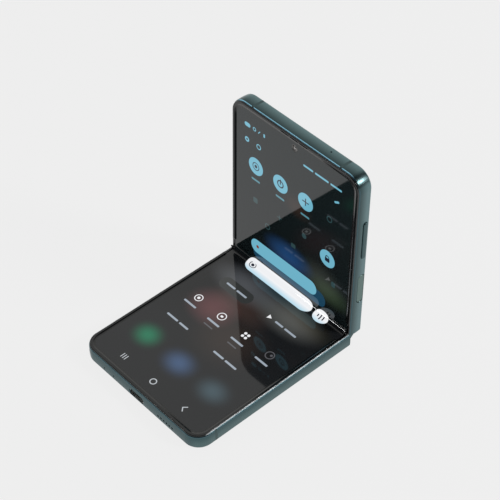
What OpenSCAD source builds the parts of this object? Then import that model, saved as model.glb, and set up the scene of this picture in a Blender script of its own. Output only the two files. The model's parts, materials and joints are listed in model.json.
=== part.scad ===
// Folding smartphone, half open and resting on its lower half.
// Two flat halves turn on two parallel shafts inside a slim spine, and four gears
// in line make both halves fold by the same angle.
// Frame: X runs along the fold, +Z is up. The lower half lies on Z = 0 with the
// centre of its back face at the origin; the upper half stands on its +Y side.

/* [Body] */
// Width along the fold
body_w = 71.9; // [71:0.1:73]
// Length of one half, from the fold line to its outer end
half_len = 82.55; // [82:0.05:84]
// Thickness of one half without its raised rim
thick = 6.9; // [6.9:0.1:7.2]
// Plan radius of the outer corners
corner_r = 7.2; // [7:0.2:10]
// Rounding of the frame's edge on the back
back_edge_r = 1.1; // [0.7:0.1:1.3]
// Rounding of the frame's edge on the display side
front_edge_r = 0.85; // [0.7:0.05:1]
// How far the frame's outer face bulges between its two edges
crown = 0.25; // [0.15:0.05:0.3]
// Thickness of the frame's wall
wall_t = 1.4; // [1.3:0.1:1.4]

/* [Fold] */
// Angle between the two display faces
opening = 92; // [60:1:150]
// Distance from the fold line to each hinge shaft
shaft_y = 2.1; // [2.1:0.05:2.2]
// Depth of each hinge shaft below the display face
shaft_depth = 1.55; // [1.5:0.05:1.6]
// Outer radius of the spine cover about each shaft
spine_r = 4.65; // [4.6:0.05:4.7]
// Wall of the spine cover
spine_wall = 0.5; // [0.4:0.05:0.5]
// Gap between the two halves along the fold
fold_gap = 0.2; // [0.2:0.05:0.3]
// Length of display on each side of the fold line that bends
bend_len = 5.2; // [5:0.1:5.6]
// How far the display sinks at the fold line
fold_sink = 0.3; // [0.2:0.05:0.35]

/* [Gears] */
// Module of the gears
gear_m = 0.25; // [0.25:0.01:0.26]
// Teeth on a full circle of each half's gear, which carries only some of them
sector_z = 16; // [16:16]
// Teeth of each idler in the spine
idler_z = 8; // [8:8]
// Angle of pressure of the teeth
pressure = 25; // [22:1:28]
// Radius of the hinge shafts
shaft_r = 0.5; // [0.45:0.05:0.5]
// Radial running clearance of the hinge shafts
run_gap = 0.04; // [0.02:0.01:0.06]

/* [Layers] */
// Height of the raised rim above the display
rim_h = 0.3; // [0.25:0.05:0.4]
// Width of the raised rim
rim_w = 1.6; // [1.5:0.05:1.65]
// Thickness of the folding display
display_t = 0.7; // [0.6:0.05:0.7]
// Thickness of the display where it bends
bend_t = 0.5; // [0.3:0.05:0.5]
// Thickness of the metal plate under the display
plate_t = 0.3; // [0.2:0.05:0.3]
// Thickness of the frame's middle plate
mid_t = 0.6; // [0.5:0.05:0.7]
// Thickness of the back glass
glass_t = 0.5; // [0.4:0.05:0.5]

/* [Controls] */
// Distance of the side key's centre from the fold line
side_key_u = 24.55; // [24:0.1:26]
// Length and height of the side key
side_key = [14.9, 3.4]; // [3:0.1:16]
// Distance of the volume key's centre from the fold line
volume_u = 50.45; // [50:0.1:52]
// Length and height of the volume key
volume_key = [18.7, 2.2]; // [2:0.1:20]
// Depth of both keys' centre line below the display face
key_z = -4.4; // [-4.5:0.1:-4.3]
// How far the volume key stands out of the frame
volume_proud = 0.5; // [0.3:0.05:0.6]
// How far the side key lies below the frame's face
side_key_sunk = 0.1; // [0:0.02:0.2]
// Rounding of the volume key's edge and of the side key's
key_round = [0.45, 0.25]; // [0.1:0.05:0.45]
// Chamfer round the keys' slots
slot_chamfer = 0.22; // [0.1:0.02:0.25]
// Distance of the SIM tray's centre from the fold line
tray_u = 62; // [61:0.5:63]

/* [Openings] */
// Depth of the centre line of the ports below the display face
port_z = -4.1; // [-4.2:0.1:-4]
// Place of the USB port along the end
usb_x = -1; // [-2:0.1:0]
// Width and height of the opening in the USB shell
usb_mouth = [8.34, 2.56]; // [2.5:0.01:8.4]
// Chamfer round the port's mouth
mouth_chamfer = 0.2; // [0.1:0.05:0.25]
// Number of sound holes
sound_holes = 6; // [4:1:7]
// Pitch of the sound holes
sound_pitch = 1.7; // [1.5:0.1:1.8]
// Place of the sound hole nearest the port
sound_x = 12.6; // [12:0.1:13]
// Places of the two small holes on the lower end
small_holes = [-21.3, -15.4]; // [-24:0.1:-12]
// Place of the microphone hole on the upper end
top_mic_x = 16.1; // [15:0.1:17]
// Place of the front camera across and along the upper half
front_cam = [0.3, 76.84]; // [-1:0.01:78]
// Place of the first rear camera and of the second
rear_cams = [[24.2, 71], [8.8, 71]]; // [8:0.1:72]
// Outer radius of a rear camera's ring
ring_r = 6.4; // [6:0.1:6.6]

/* [Hidden] */
$fn = 64;

eps = 0.05;
wide = body_w + 2;
hinge_y = half_len / 2;                   // the fold line, from the lower half's centre
fold = (180 - opening) / 2;               // each half's turn about its own shaft
room_r = spine_r + 0.2;                   // the halves' hollow round the spine
spine_half = body_w / 2 - wall_t - 0.1;   // half the spine's length, between the side walls
relief_r = shaft_y - fold_gap / 2 - 0.05; // the side walls' corner beside the display

// Depths, measured from the display face
plate_top = -display_t;
mid_top = plate_top - plate_t;
mid_bottom = mid_top - mid_t;
glass_top = -thick + glass_t;

// The frame's section: distances in from its outer face
land_w = 0.5;
groove_d = 0.6;
glass_inset = 1.5;
glass_gap = 0.05;
ledge_w = 2.3;
ledge_t = 0.6;
display_inset = 1.95;
rim_foot = 1.8;
crown_r = (pow(thick / 2, 2) + pow(crown, 2)) / (2 * crown);
rim_low = 0.05;
rim_round = 0.2;
rim_start = 1;
rim_ramp = [bend_len, bend_len + 1.3];
rail_w = 1.4;
trough_t = 0.5;

// The display's bend: how far it leaves each half and the fold line before it curves
bend_pull = [2.4, 1.4];
bend_steps = 16;

// Stations along the fold of one hinge, from its inner end to the spine's end
end_block = [18.6, 19.6];
inner_wall = [25.9, 26.85];
upper_sector = [26.95, 28.35];
lower_sector = [28.45, 29.85];
middle_wall = [29.95, 30.85];
arms_x = [30.95, 32.75];
outer_wall = [32.85, 33.75];

knuckle_r = 0.95;
shaft_fit = 0.01;               // the halves' arms and gears are pressed on their shafts
shaft_head = [0.4, 0.3];        // length of the shaft's head, and how far it stands out
wall_boss_r = 0.9;
arm_t = shaft_depth + knuckle_r + mid_bottom;
arm_end = 14;
arm_foot = [26.5, 33.6];
foot_start = 8;
arm_screws = [[28, 11], [32, 11]];
screw_r = 0.7;
screw_head_r = 1.2;
screw_head_t = 0.6;
spine_screw_x = 22.7;

// Gear train: sector, idler, idler, sector
sector_r = gear_m * sector_z / 2;
idler_r = gear_m * idler_z / 2;
addendum = 0.8 * gear_m;
dedendum = 1.08 * gear_m;
tooth_thin = 0.03;
idler_drop = sqrt(pow(sector_r + idler_r, 2) - pow(shaft_y - idler_r, 2));
idler_z_at = -shaft_depth - idler_drop;
mesh_angle = atan2(idler_drop, idler_r - shaft_y); // from the lower idler to the lower shaft
idler_axle_r = 0.4;

antenna_w = 1.2;
lower_breaks_u = 72.5;
upper_breaks_x = [-24.3, 24.9];

cover_lip = mid_bottom - arm_t - 0.15;
end_wall_t = 0.55;
rail_y = [2.9, 3.6];
rail_z = [0.8, 0.9];
base_t = 0.5;
floor_z = -shaft_depth - spine_r + spine_wall;
disc_bore = 0.56;
disc_r = [0.72, 0.92];
disc_count = 20;
brush = [0.45, 0.95, 0.15];     // where it starts, its width and its thickness

// End caps of the fold, in the spine's space
cap_half = 0.42;
cap_top = 0.1;
cap_tongue = 0.06 - fold_sink;
cap_gap = 0.07;
cap_stem = 0.35;
cap_seat = -0.9;
cap_inner_x = 33.2;

flex_x = [-9, 5];
flex_t = 0.2;
flex_end_u = 12;
flex_leave_u = 6.3;
flex_pull = 3.5;
flex_sag_w = 2.2;
flex_floor = -4.9;
flex_steps = 10;

// Boards: pieces of outline as [corner, size], connectors as [place, size] on the display side
board_t = 0.6;
board_top = -2.7;
board_bottom = board_top - board_t;
board_screw_r = 0.6;
post_r = 1.3;
plug_t = 0.7;
lower_board = [[[-31, 55], [62, 7]], [[-31, 55], [37, 23]]];
upper_board = [[[-31.5, 42], [63, 22]], [[-31.5, 42], [33, 31]], [[-31.5, 42], [13.5, 36]]];
lower_plugs = [[[0, 57.2], [10, 2.6]], [[-20, 60.5], [7, 2.2]]];
upper_plugs = [[[0, 44.2], [10, 2.6]], [[17, 46], [8, 2.2]], [[-14, 60], [7, 2.2]]];
lower_posts = [[-27, 58], [27, 58], [-27, 75]];
upper_posts = [[-28, 44.5], [29.6, 44.5], [-28, 75]];
shields = [[[14, 53.5], [26, 16]], [[-9.8, 53], [15, 14]]];
shield_t = 1.5;

// Cells: width, length and the distance of their middle from the fold line
lower_cell = [58, 36, 34];
upper_cell = [58, 24, 28.5];
cell_t = 4;
cell_r = 2;
cell_terrace = [40, 1.2, 1.1];  // the folded seam with the cell's circuit

haptic_at = [-17, 67.5];
haptic_r = 4;
haptic_t = 2.9;
coil_r = [8, 19];
coil_turns = 7;
coil_foil_t = 0.15;
coil_wire = [1, 0.25];

usb_depth = 8.2;
usb_wall = 0.3;
usb_hole = [for (side = usb_mouth) side + 2 * usb_wall + 0.1];
usb_back_t = 0.6;
usb_tongue = [6.2, 6.6, 0.7];
usb_foot = [11, 4, 0.3];
usb_notch = [10.4, 73.8];       // width of the board's notch and where it starts
usb_setback = 0.4;

sound_hole_r = 0.5;
small_hole_r = 0.4;
mesh_t = 0.3;
mesh_u = half_len - wall_t - mesh_t;
duct = [10.6, 1.6];
duct_x = sound_x - 1;
duct_from = 78;
speaker_box = [19, 15.5, 4];
speaker_at = [18.5, 70.5];
mic_size = [3.6, 2.6, 1.1];
mic_u = 76.2;
top_mic_size = [3.6, 1.4, 3];

ring_h = 1;
ring_lip = 1.1;
ring_flange = 0.8;
ring_foot = 1.5;
window_top = -thick - 0.3;
window_t = 0.4;
rear_box = [10.6, 10.6, 4.45];
// Lens steps, from the rim in: radius and depth behind the hood's front
rear_lens = [[4.4, 0], [3.8, 0], [3.1, 0.35], [2.7, 0.35], [2.2, 0.6], [1.6, 0.6],
             [1, 0.48], [0, 0.44]];
rear_lens_front = -thick - 0.1;
rear_lens_t = 1.2;
flash_at = [-2.6, 71];
flash_r = 1.6;
flash_box = [4.4, 4.4, 2.8];
cam_barrel_r = 1.65;
cam_gap = 0.1;
front_box = [5.6, 5.2, 3.4];
front_lens = [[cam_barrel_r, 0], [1.3, 0], [0.8, 0.3], [0.6, 0.3], [0.3, 0.22], [0, 0.2]];
front_lens_front = -0.04;
cover_panel = [64, 52, 0.7];
cover_panel_at = [0, 35.5];
earpiece_slit = [10.5, 0.5];
slit_inset = 1.45;
earpiece_box = [12, 7, 2.6];
earpiece_at = [-11, 77.3];
earpiece_duct = [11.5, 1.4, 1.2];

key_gap = 0.08;
key_rib = [32.4, 33];
key_rib_u = [16, 61];
key_rib_h = 1.6;
key_back = 1.85;
key_cap_t = 1.15;
key_flange = [1.6, 2.2];        // how much longer than the key, and its height
switch_u = [side_key_u, volume_u - 6, volume_u + 6];
switch_size = [0.75, 3, 2.4];

tray_face = [16.4, 2.2];
tray_face_t = 1.2;
tray_plate = [13.6, 14.8, 0.9];
tray_card = [11, 8.8, 0.25];    // the card's place: length, width and height of its floor
tray_pin = [6.4, 0.4];          // offset and radius of the hole for the eject pin
tray_gap = 0.1;
socket_size = [13.3, 16];
socket_x = -33.3;
socket_floor = 0.8;

metal = "#55686e";
dark = "#1c1f21";
steel = "#a9adb0";
board_green = "#1f4d3a";
black_glass = "#0d1012";

// ---------- placing ----------
module turn(y, z, angle) {
    translate([0, y, z]) rotate([angle, 0, 0]) translate([0, -y, -z]) children();
}

// In a half's own space Y is the distance from the fold line and Z = 0 is the display face.
module at_lower() { translate([0, hinge_y, thick]) mirror([0, 1, 0]) children(); }
module at_spine() {
    translate([0, hinge_y, thick]) turn(-shaft_y, -shaft_depth, fold) children();
}
module at_upper() { at_spine() turn(shaft_y, -shaft_depth, fold) children(); }

module both_ends() { for (side = [0, 1]) mirror([side, 0, 0]) children(); }

// A section drawn in the Y-Z plane and drawn out from x0 to x1
module along_x(x0, x1) {
    translate([x0, 0, 0]) rotate([90, 0, 90]) linear_extrude(x1 - x0) children();
}

module at_shaft() { translate([shaft_y, -shaft_depth]) children(); }

// ---------- shared forms ----------
module round_rect(w, l, r) {
    translate([-w / 2, -l / 2 + r]) square([w, l - 2 * r]);
    translate([-w / 2 + r, -l / 2]) square([w - 2 * r, l]);
    for (x = [-1, 1], y = [-1, 1]) translate([x * (w / 2 - r), y * (l / 2 - r)]) circle(r);
}

module capsule(l, h) {
    translate([-(l - h) / 2, -h / 2]) square([l - h, h]);
    for (x = [-1, 1]) translate([x * (l - h) / 2, 0]) circle(h / 2);
}

// Sweeps one side of a section, X out from the middle and Y up, round a capsule's core
module swept_pill(l, h) {
    both_ends() translate([(l - h) / 2, 0, 0]) rotate(-90) rotate_extrude(angle = 180) children();
    translate([(h - l) / 2, 0, 0]) rotate([90, 0, 90]) linear_extrude(l - h) {
        children();
        mirror([1, 0]) children();
    }
}

// A capsule of this thickness with a rounded edge round its top
module soft_capsule(l, h, t, r) {
    swept_pill(l, h) difference() {
        square([h / 2, t]);
        translate([h / 2, t]) rotate(180) corner_off(r);
    }
}

// What a chamfer takes from the mouth of a capsule-shaped hole that runs along +Z from 0
module mouth(l, h, chamfer) {
    swept_pill(l, h)
        polygon([[0, -1], [h / 2 + chamfer + 1, -1], [h / 2, chamfer], [0, chamfer]]);
}

// A slab with round corners: its top is at at.z and its middle at at.x, at.y
module slab(size, at, r = 1) {
    translate([at[0], at[1], at[2] - size[2]]) linear_extrude(size[2])
        round_rect(size[0], size[1], r);
}

module half_outline(inset, from) {
    r = corner_r - inset;
    w = body_w - 2 * inset;
    end = half_len - inset;
    translate([-w / 2, from]) square([w, end - r - from]);
    translate([-w / 2 + r, from]) square([w - 2 * r, end - from]);
    for (x = [-1, 1]) translate([x * (w / 2 - r), end - r]) circle(r);
}

module half_sheet(inset, from, top, t) {
    translate([0, 0, top - t]) linear_extrude(t) half_outline(inset, from);
}

// Sweeps a section, X in from the outer face and Y up, round the edge of a half
module edge_sweep(from) {
    straight = half_len - corner_r;
    both_ends() {
        translate([body_w / 2, straight, 0]) rotate([90, 0, 0])
            linear_extrude(straight - from) mirror([1, 0]) children();
        translate([body_w / 2 - corner_r, straight, 0]) rotate_extrude(angle = 90)
            translate([corner_r, 0]) mirror([1, 0]) children();
    }
    translate([corner_r - body_w / 2, half_len, 0]) rotate([90, 0, 90])
        linear_extrude(body_w - 2 * corner_r) mirror([1, 0]) children();
}

module corner_off(r) {
    difference() {
        translate([-1, -1]) square(1 + r);
        translate([r, r]) circle(r);
    }
}

// What the outer face loses below its middle, Y down: the bulge and an edge rounded to meet it
module crown_off(r) {
    bulge = crown_r - r;
    drop = thick / 2 - r;
    along = crown_r - sqrt(pow(bulge, 2) - pow(drop, 2));
    difference() {
        translate([-1, -1]) square([1 + crown, 1 + thick / 2]);
        translate([crown_r, thick / 2]) circle(crown_r, $fn = 360);
    }
    difference() {
        translate([-1, -1]) square([1 + along, 1 + thick / 2 - drop * crown_r / bulge]);
        translate([along, r]) circle(r);
    }
}

// ---------- frame ----------
module band_section() {
    difference() {
        union() {
            translate([0, -thick]) square([land_w, thick]);
            translate([0, -thick]) square([wall_t, thick - groove_d]);
            translate([0, -thick]) square([glass_inset, glass_t + ledge_t]);
            translate([0, glass_top]) square([ledge_w, ledge_t]);
        }
        translate([0, -thick]) crown_off(back_edge_r);
        mirror([0, 1]) crown_off(front_edge_r);
    }
}

// The end faces at the fold: clear of the other half beside the display, rounded at the back
module fold_end_cuts() {
    along_x(-wide / 2, wide / 2) {
        difference() {
            translate([-1, -shaft_depth]) square([shaft_y + 1, shaft_depth + 1]);
            at_shaft() circle(relief_r);
        }
        translate([fold_gap / 2, -thick]) corner_off(back_edge_r + 0.2);
    }
}

module half_band() {
    difference() {
        union() {
            edge_sweep(fold_gap / 2) band_section();
            along_x(-body_w / 2 + wall_t, body_w / 2 - wall_t)
                translate([fold_gap / 2, -thick]) square([rail_w, glass_t]);
        }
        fold_end_cuts();
    }
}

module spine_room() {
    along_x(-spine_half - 0.1, spine_half + 0.1) {
        translate([-1, glass_top]) square([shaft_y + 1, thick]);
        at_shaft() circle(room_r);
    }
}

// The curved wall that parts the spine's room from the inside of a half
module trough() {
    along_x(-spine_half - 0.2, spine_half + 0.2) intersection() {
        at_shaft() circle(room_r + trough_t);
        translate([shaft_y, glass_top]) square([room_r + trough_t, mid_top - glass_top]);
    }
}

module antenna_breaks(upper) {
    if (upper) {
        for (x = upper_breaks_x) translate([x - antenna_w / 2, half_len - 4, -thick - 1])
            cube([antenna_w, 5, thick + 2]);
    } else {
        both_ends() translate([body_w / 2 - 4, lower_breaks_u - antenna_w / 2, -thick - 1])
            cube([5, antenna_w, thick + 2]);
    }
}

module half_frame(upper) {
    difference() {
        union() {
            difference() {
                half_band();
                antenna_breaks(upper);
            }
            half_sheet(wall_t - 0.2, room_r + shaft_y - 0.3, mid_top, mid_t);
            trough();
        }
        spine_room();
        // ways through the trough for the arms and the flat cable
        both_ends() translate([arms_x[0] - 0.1, shaft_y, mid_bottom - arm_t - 0.1])
            cube([arms_x[1] - arms_x[0] + 0.2, room_r + 1, arm_t + 0.1]);
        translate([flex_x[0] - 0.2, shaft_y + 3, mid_bottom - 0.7])
            cube([flex_x[1] - flex_x[0] + 0.4, 3, 0.7]);
        both_ends() for (at = arm_screws)
            translate([at[0], at[1], mid_bottom - eps]) cylinder(r = screw_r, h = mid_t + 2 * eps);
    }
}

module antenna_fill(upper) {
    difference() {
        intersection() {
            half_band();
            antenna_breaks(upper);
        }
        half_sheet(wall_t - 0.2, room_r, mid_top, mid_t);
    }
}

module hole_in_end(x, r) {
    translate([x, half_len + 1, port_z]) rotate([90, 0, 0]) cylinder(r = r, h = 4);
}

module side_slot(u, size, z, depth, chamfer = slot_chamfer) {
    translate([body_w / 2, u, z]) rotate([90, 0, -90]) {
        translate([0, 0, -1]) linear_extrude(depth + 1) capsule(size[0], size[1]);
        mouth(size[0], size[1], chamfer);
    }
}

module board_posts(places) {
    for (at = places) translate([at[0], at[1], board_top])
        difference() {
            cylinder(r = post_r, h = mid_bottom - board_top + eps);
            translate([0, 0, -eps]) cylinder(r = board_screw_r, h = 1);
        }
}

module lower_frame() {
    color(metal) at_lower() difference() {
        union() {
            half_frame(false);
            board_posts(lower_posts);
        }
        translate([usb_x, half_len, port_z]) rotate([90, 0, 0]) {
            translate([0, 0, -1]) linear_extrude(4) capsule(usb_hole[0], usb_hole[1]);
            mouth(usb_hole[0], usb_hole[1], mouth_chamfer);
        }
        for (i = [0 : sound_holes - 1]) hole_in_end(sound_x + i * sound_pitch, sound_hole_r);
        for (x = small_holes) hole_in_end(x, small_hole_r);
    }
}

module upper_frame() {
    color(metal) at_upper() difference() {
        union() {
            half_frame(true);
            board_posts(upper_posts);
            // the rib behind the keys that carries their switches
            translate([key_rib[0], key_rib_u[0], key_z - key_rib_h])
                cube([key_rib[1] - key_rib[0], key_rib_u[1] - key_rib_u[0],
                      mid_bottom - key_z + key_rib_h + eps]);
        }
        side_slot(side_key_u, side_key, key_z, wall_t + 0.1);
        side_slot(volume_u, volume_key, key_z, wall_t + 0.1);
        mirror([1, 0, 0]) side_slot(tray_u, tray_face + [2, 2] * tray_gap, port_z, wall_t + 1, 0.1);
        hole_in_end(top_mic_x, small_hole_r);
        camera_way();
        // the earpiece's sound passes the middle plate under the slit in the rim
        translate([front_cam[0], half_len - slit_inset - earpiece_slit[1] / 2, mid_bottom - eps])
            linear_extrude(mid_t + 1) capsule(earpiece_slit[0] - 1, earpiece_slit[1] - 0.1);
    }
}

// The way through the layers for the front camera's barrel
module camera_way() {
    translate([front_cam[0], front_cam[1], mid_bottom - 1])
        cylinder(r = cam_barrel_r + cam_gap, h = 3);
}

module lower_antenna_bands() { color("#44545a") at_lower() antenna_fill(false); }
module upper_antenna_bands() { color("#44545a") at_upper() antenna_fill(true); }

// ---------- glass, display and rim ----------
module back_glass() {
    half_sheet(glass_inset + glass_gap, fold_gap / 2 + rail_w + glass_gap, glass_top, glass_t);
}

module lower_back_glass() { color(metal) at_lower() back_glass(); }

module upper_back_glass() {
    color(black_glass) at_upper() difference() {
        back_glass();
        at_each_camera() translate([0, 0, -thick - 1]) cylinder(r = ring_r + glass_gap, h = 3);
        translate([flash_at[0], flash_at[1], -thick - 1]) cylinder(r = flash_r + glass_gap, h = 3);
    }
}

module rim_section(height) {
    difference() {
        union() {
            translate([land_w, -groove_d]) square([rim_foot - land_w, groove_d + height]);
            translate([land_w, 0]) square([rim_w, height]);
        }
        translate([land_w, height]) mirror([0, 1]) corner_off(rim_round);
        translate([land_w + rim_w, height]) mirror([1, 0]) mirror([0, 1]) corner_off(rim_round);
    }
}
// Beside the bend the rim loses its lip and sinks almost level with the display
module half_rim() {
    intersection() {
        edge_sweep(rim_ramp[0]) rim_section(rim_h);
        along_x(-wide / 2, wide / 2) polygon([
            [rim_ramp[0], -1], [half_len + 1, -1], [half_len + 1, 1], [rim_ramp[1], 1],
            [rim_ramp[1], rim_h], [rim_ramp[0], rim_low]
        ]);
    }
    both_ends() translate([body_w / 2 - wall_t, rim_start, -groove_d])
        cube([wall_t - land_w, rim_ramp[0] - rim_start, groove_d + rim_low]);
}

module lower_display_rim() { color(dark) at_lower() half_rim(); }
module upper_display_rim() {
    color(dark) at_upper() difference() {
        half_rim();
        translate([front_cam[0], half_len - slit_inset, -1]) linear_extrude(2)
            capsule(earpiece_slit[0], earpiece_slit[1]);
    }
}

module lower_support_plate() {
    color(steel) at_lower() half_sheet(display_inset, bend_len, plate_top, plate_t);
}
module upper_support_plate() {
    color(steel) at_upper() difference() {
        half_sheet(display_inset, bend_len, plate_top, plate_t);
        camera_way();
    }
}
module lower_display() {
    color(black_glass) at_lower() half_sheet(display_inset, bend_len, 0, display_t);
}
module upper_display() {
    color(black_glass) at_upper() difference() {
        half_sheet(display_inset, bend_len, 0, display_t);
        camera_way();
    }
}

// The bend, in the spine's space: a curve that leaves each half along its display face and
// crosses the fold line level. A second line lies under it at the film's thickness.
function spin(p, a) = [p[0] * cos(a) - p[1] * sin(a), p[0] * sin(a) + p[1] * cos(a)];
function from_half(u, z) = [-shaft_y, -shaft_depth] + spin([shaft_y - u, shaft_depth + z], -fold);
function bezier(p, t) =
    pow(1 - t, 3) * p[0] + 3 * pow(1 - t, 2) * t * p[1] + 3 * (1 - t) * t * t * p[2] + pow(t, 3) * p[3];
function along(points, i) = let (d = points[min(i + 1, len(points) - 1)] - points[max(i - 1, 0)])
    d / norm(d);
function beside(points, gap) = [for (i = [0 : len(points) - 1])
    points[i] + gap * [-along(points, i)[1], along(points, i)[0]]];
function reversed(points) = [for (i = [len(points) - 1 : -1 : 0]) points[i]];
function mirrored(points) = [for (p = reversed(points)) [-p[0], p[1]]];

bend_controls = [from_half(bend_len, 0), from_half(bend_len - bend_pull[0], 0),
                 [-bend_pull[1], -fold_sink], [0, -fold_sink]];
bend_half = [for (i = [0 : bend_steps]) bezier(bend_controls, i / bend_steps)];
bend_line = concat([for (i = [0 : bend_steps - 1]) bend_half[i]], mirrored(bend_half));

module display_fold() {
    under = beside(bend_line, -bend_t);
    end = from_half(bend_len, -bend_t);
    outline = concat(bend_line, [[-end[0], end[1]]],
                     [for (i = [len(under) - 2 : -1 : 1]) under[i]], [end]);
    color(black_glass) at_spine()
        along_x(display_inset - body_w / 2, body_w / 2 - display_inset) polygon(outline);
}

// The flat cable hangs in a shallow loop through the spine's middle. Points are in the
// spine's space, from the lower half's end of the cable to the fold line.
flex_line = let (level = mid_bottom - flex_t / 2, leave = from_half(flex_leave_u, level),
                 ahead = from_half(flex_leave_u - flex_pull, level))
    concat([from_half(flex_end_u, level)],
           [for (i = [0 : flex_steps])
               bezier([leave, ahead, [-flex_sag_w, flex_floor], [0, flex_floor]], i / flex_steps)]);

module hinge_flex() {
    color("#7a4a1c") at_spine() along_x(flex_x[0], flex_x[1]) for (side = [0, 1])
        mirror([side, 0]) polygon(concat(beside(flex_line, flex_t / 2),
                                         reversed(beside(flex_line, -flex_t / 2))));
}

// ---------- hinge: parts on each half ----------
module hinge_arms() {
    both_ends() difference() {
        union() {
            along_x(arms_x[0], arms_x[1]) {
                at_shaft() circle(knuckle_r);
                translate([shaft_y, mid_bottom - arm_t]) square([arm_end - shaft_y, arm_t]);
            }
            translate([arm_foot[0], foot_start, mid_bottom - arm_t])
                cube([arm_foot[1] - arm_foot[0], arm_end - foot_start, arm_t]);
        }
        along_x(arms_x[0] - 1, arms_x[1] + 1) at_shaft() circle(shaft_r + shaft_fit);
        for (at = arm_screws) translate([at[0], at[1], mid_bottom - arm_t - 1])
            cylinder(r = screw_r, h = arm_t + 2);
    }
}

module hinge_shafts() {
    both_ends() {
        head_x = end_block[0] - 0.1;
        along_x(head_x - shaft_head[0], outer_wall[1]) at_shaft() circle(shaft_r);
        along_x(head_x - shaft_head[0], head_x) at_shaft() circle(shaft_r + shaft_head[1]);
    }
}

function involute(r, base) = let (a = acos(min(1, base / r))) tan(a) * 180 / PI - a;

module tooth(r, teeth, at) {
    base = r * cos(pressure);
    root = r - dedendum;
    tip = r + addendum;
    start = max(base, root);
    radii = concat([root - 0.1], [for (i = [0 : 3]) start + (tip - start) * i / 3]);
    half_at = 90 / teeth - tooth_thin / r * 180 / PI + involute(r, base);
    flank = [for (q = radii) let (a = half_at - involute(max(q, base), base)) q * [cos(a), sin(a)]];
    rotate(at) polygon(concat(flank, reversed([for (p = flank) [p[0], -p[1]]])));
}

// Only the teeth that the idler meets between flat and closed are there. Angles are
// in the half's own space, seen from the shaft.
module sector_gear(first, count) {
    pitch = 360 / sector_z;
    at_shaft() difference() {
        union() {
            circle(knuckle_r);
            intersection() {
                circle(sector_r - dedendum);
                polygon([[0, 0], for (i = [0, 0.5, 1])
                    (sector_r * 1.6) * [cos(first + pitch / 3 - i * (count - 1 + 2 / 3) * pitch),
                                        sin(first + pitch / 3 - i * (count - 1 + 2 / 3) * pitch)]]);
            }
            for (i = [0 : count - 1]) tooth(sector_r, sector_z, first - i * pitch);
        }
        circle(shaft_r + shaft_fit);
    }
}

module idler(phase) {
    both_ends() {
        along_x(upper_sector[0], lower_sector[1]) {
            circle(idler_r - dedendum);
            for (i = [0 : idler_z - 1]) tooth(idler_r, idler_z, phase + i * 360 / idler_z);
        }
        along_x(inner_wall[0], middle_wall[1]) circle(idler_axle_r);
    }
}

module hinge_brush() {
    translate([0.5 - spine_half, brush[0], glass_top]) cube([2 * spine_half - 1, brush[1], brush[2]]);
}

module screw(at, seat, length, r = screw_r - 0.04, head = screw_head_r) {
    translate([at[0], at[1], seat]) {
        cylinder(r = r, h = length);
        translate([0, 0, -screw_head_t]) difference() {
            cylinder(r = head, h = screw_head_t);
            translate([0, 0, -eps]) cylinder(r = head / 2, h = screw_head_t / 2, $fn = 6);
        }
    }
}

module half_screws(posts) {
    both_ends() for (at = arm_screws) screw(at, mid_bottom - arm_t, arm_t + mid_t - 0.1);
    for (at = posts) screw(at, board_top - board_t, board_t + 0.8, board_screw_r - 0.02);
}

module lower_hinge_arms() { color(steel) at_lower() hinge_arms(); }
module upper_hinge_arms() { color(steel) at_upper() hinge_arms(); }
module lower_hinge_shafts() { color(steel) at_lower() hinge_shafts(); }
module upper_hinge_shafts() { color(steel) at_upper() hinge_shafts(); }
module lower_sync_gears() {
    color("#c9a45a") at_lower() both_ends() along_x(lower_sector[0], lower_sector[1])
        sector_gear(-mesh_angle + 360 / sector_z, 6);
}
module upper_sync_gears() {
    color("#c9a45a") at_upper() both_ends() along_x(upper_sector[0], upper_sector[1])
        sector_gear(-mesh_angle + 180 / sector_z, 5);
}
module lower_hinge_brush() { color(dark) at_lower() hinge_brush(); }
module upper_hinge_brush() { color(dark) at_upper() hinge_brush(); }
module lower_screws() { color("silver") at_lower() half_screws(lower_posts); }
module upper_screws() { color("silver") at_upper() half_screws(upper_posts); }

// ---------- hinge: parts on the spine ----------
module spine_outline(r) {
    for (side = [-1, 1]) translate([side * shaft_y, -shaft_depth]) circle(r);
    translate([-shaft_y, -shaft_depth - r]) square([2 * shaft_y, r]);
}

module below(level) { translate([-wide, level - wide]) square([2 * wide, wide]); }

module spine_cover() {
    color(metal) at_spine() difference() {
        union() {
            along_x(-spine_half, spine_half) difference() {
                intersection() {
                    spine_outline(spine_r);
                    below(cover_lip);
                }
                spine_outline(spine_r - spine_wall);
            }
            both_ends() {
                along_x(spine_half - end_wall_t, spine_half) intersection() {
                    spine_outline(spine_r - spine_wall / 2);
                    below(cover_lip);
                }
                translate([spine_half - cap_stem, -cap_half, cover_lip - 0.5])
                    cube([cap_stem, 2 * cap_half, cap_seat - cover_lip + 0.5]);
            }
        }
        both_ends() translate([spine_screw_x, 0, -shaft_depth - spine_r + 0.15])
            cylinder(r = board_screw_r, h = 1);
    }
}

module block_wall() {
    intersection() {
        spine_outline(spine_r - spine_wall);
        union() {
            for (side = [-1, 1]) translate([side * shaft_y, -shaft_depth]) circle(wall_boss_r);
            translate([-rail_y[1], -wide]) square([2 * rail_y[1], wide - shaft_depth - 0.2]);
        }
    }
}

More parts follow.
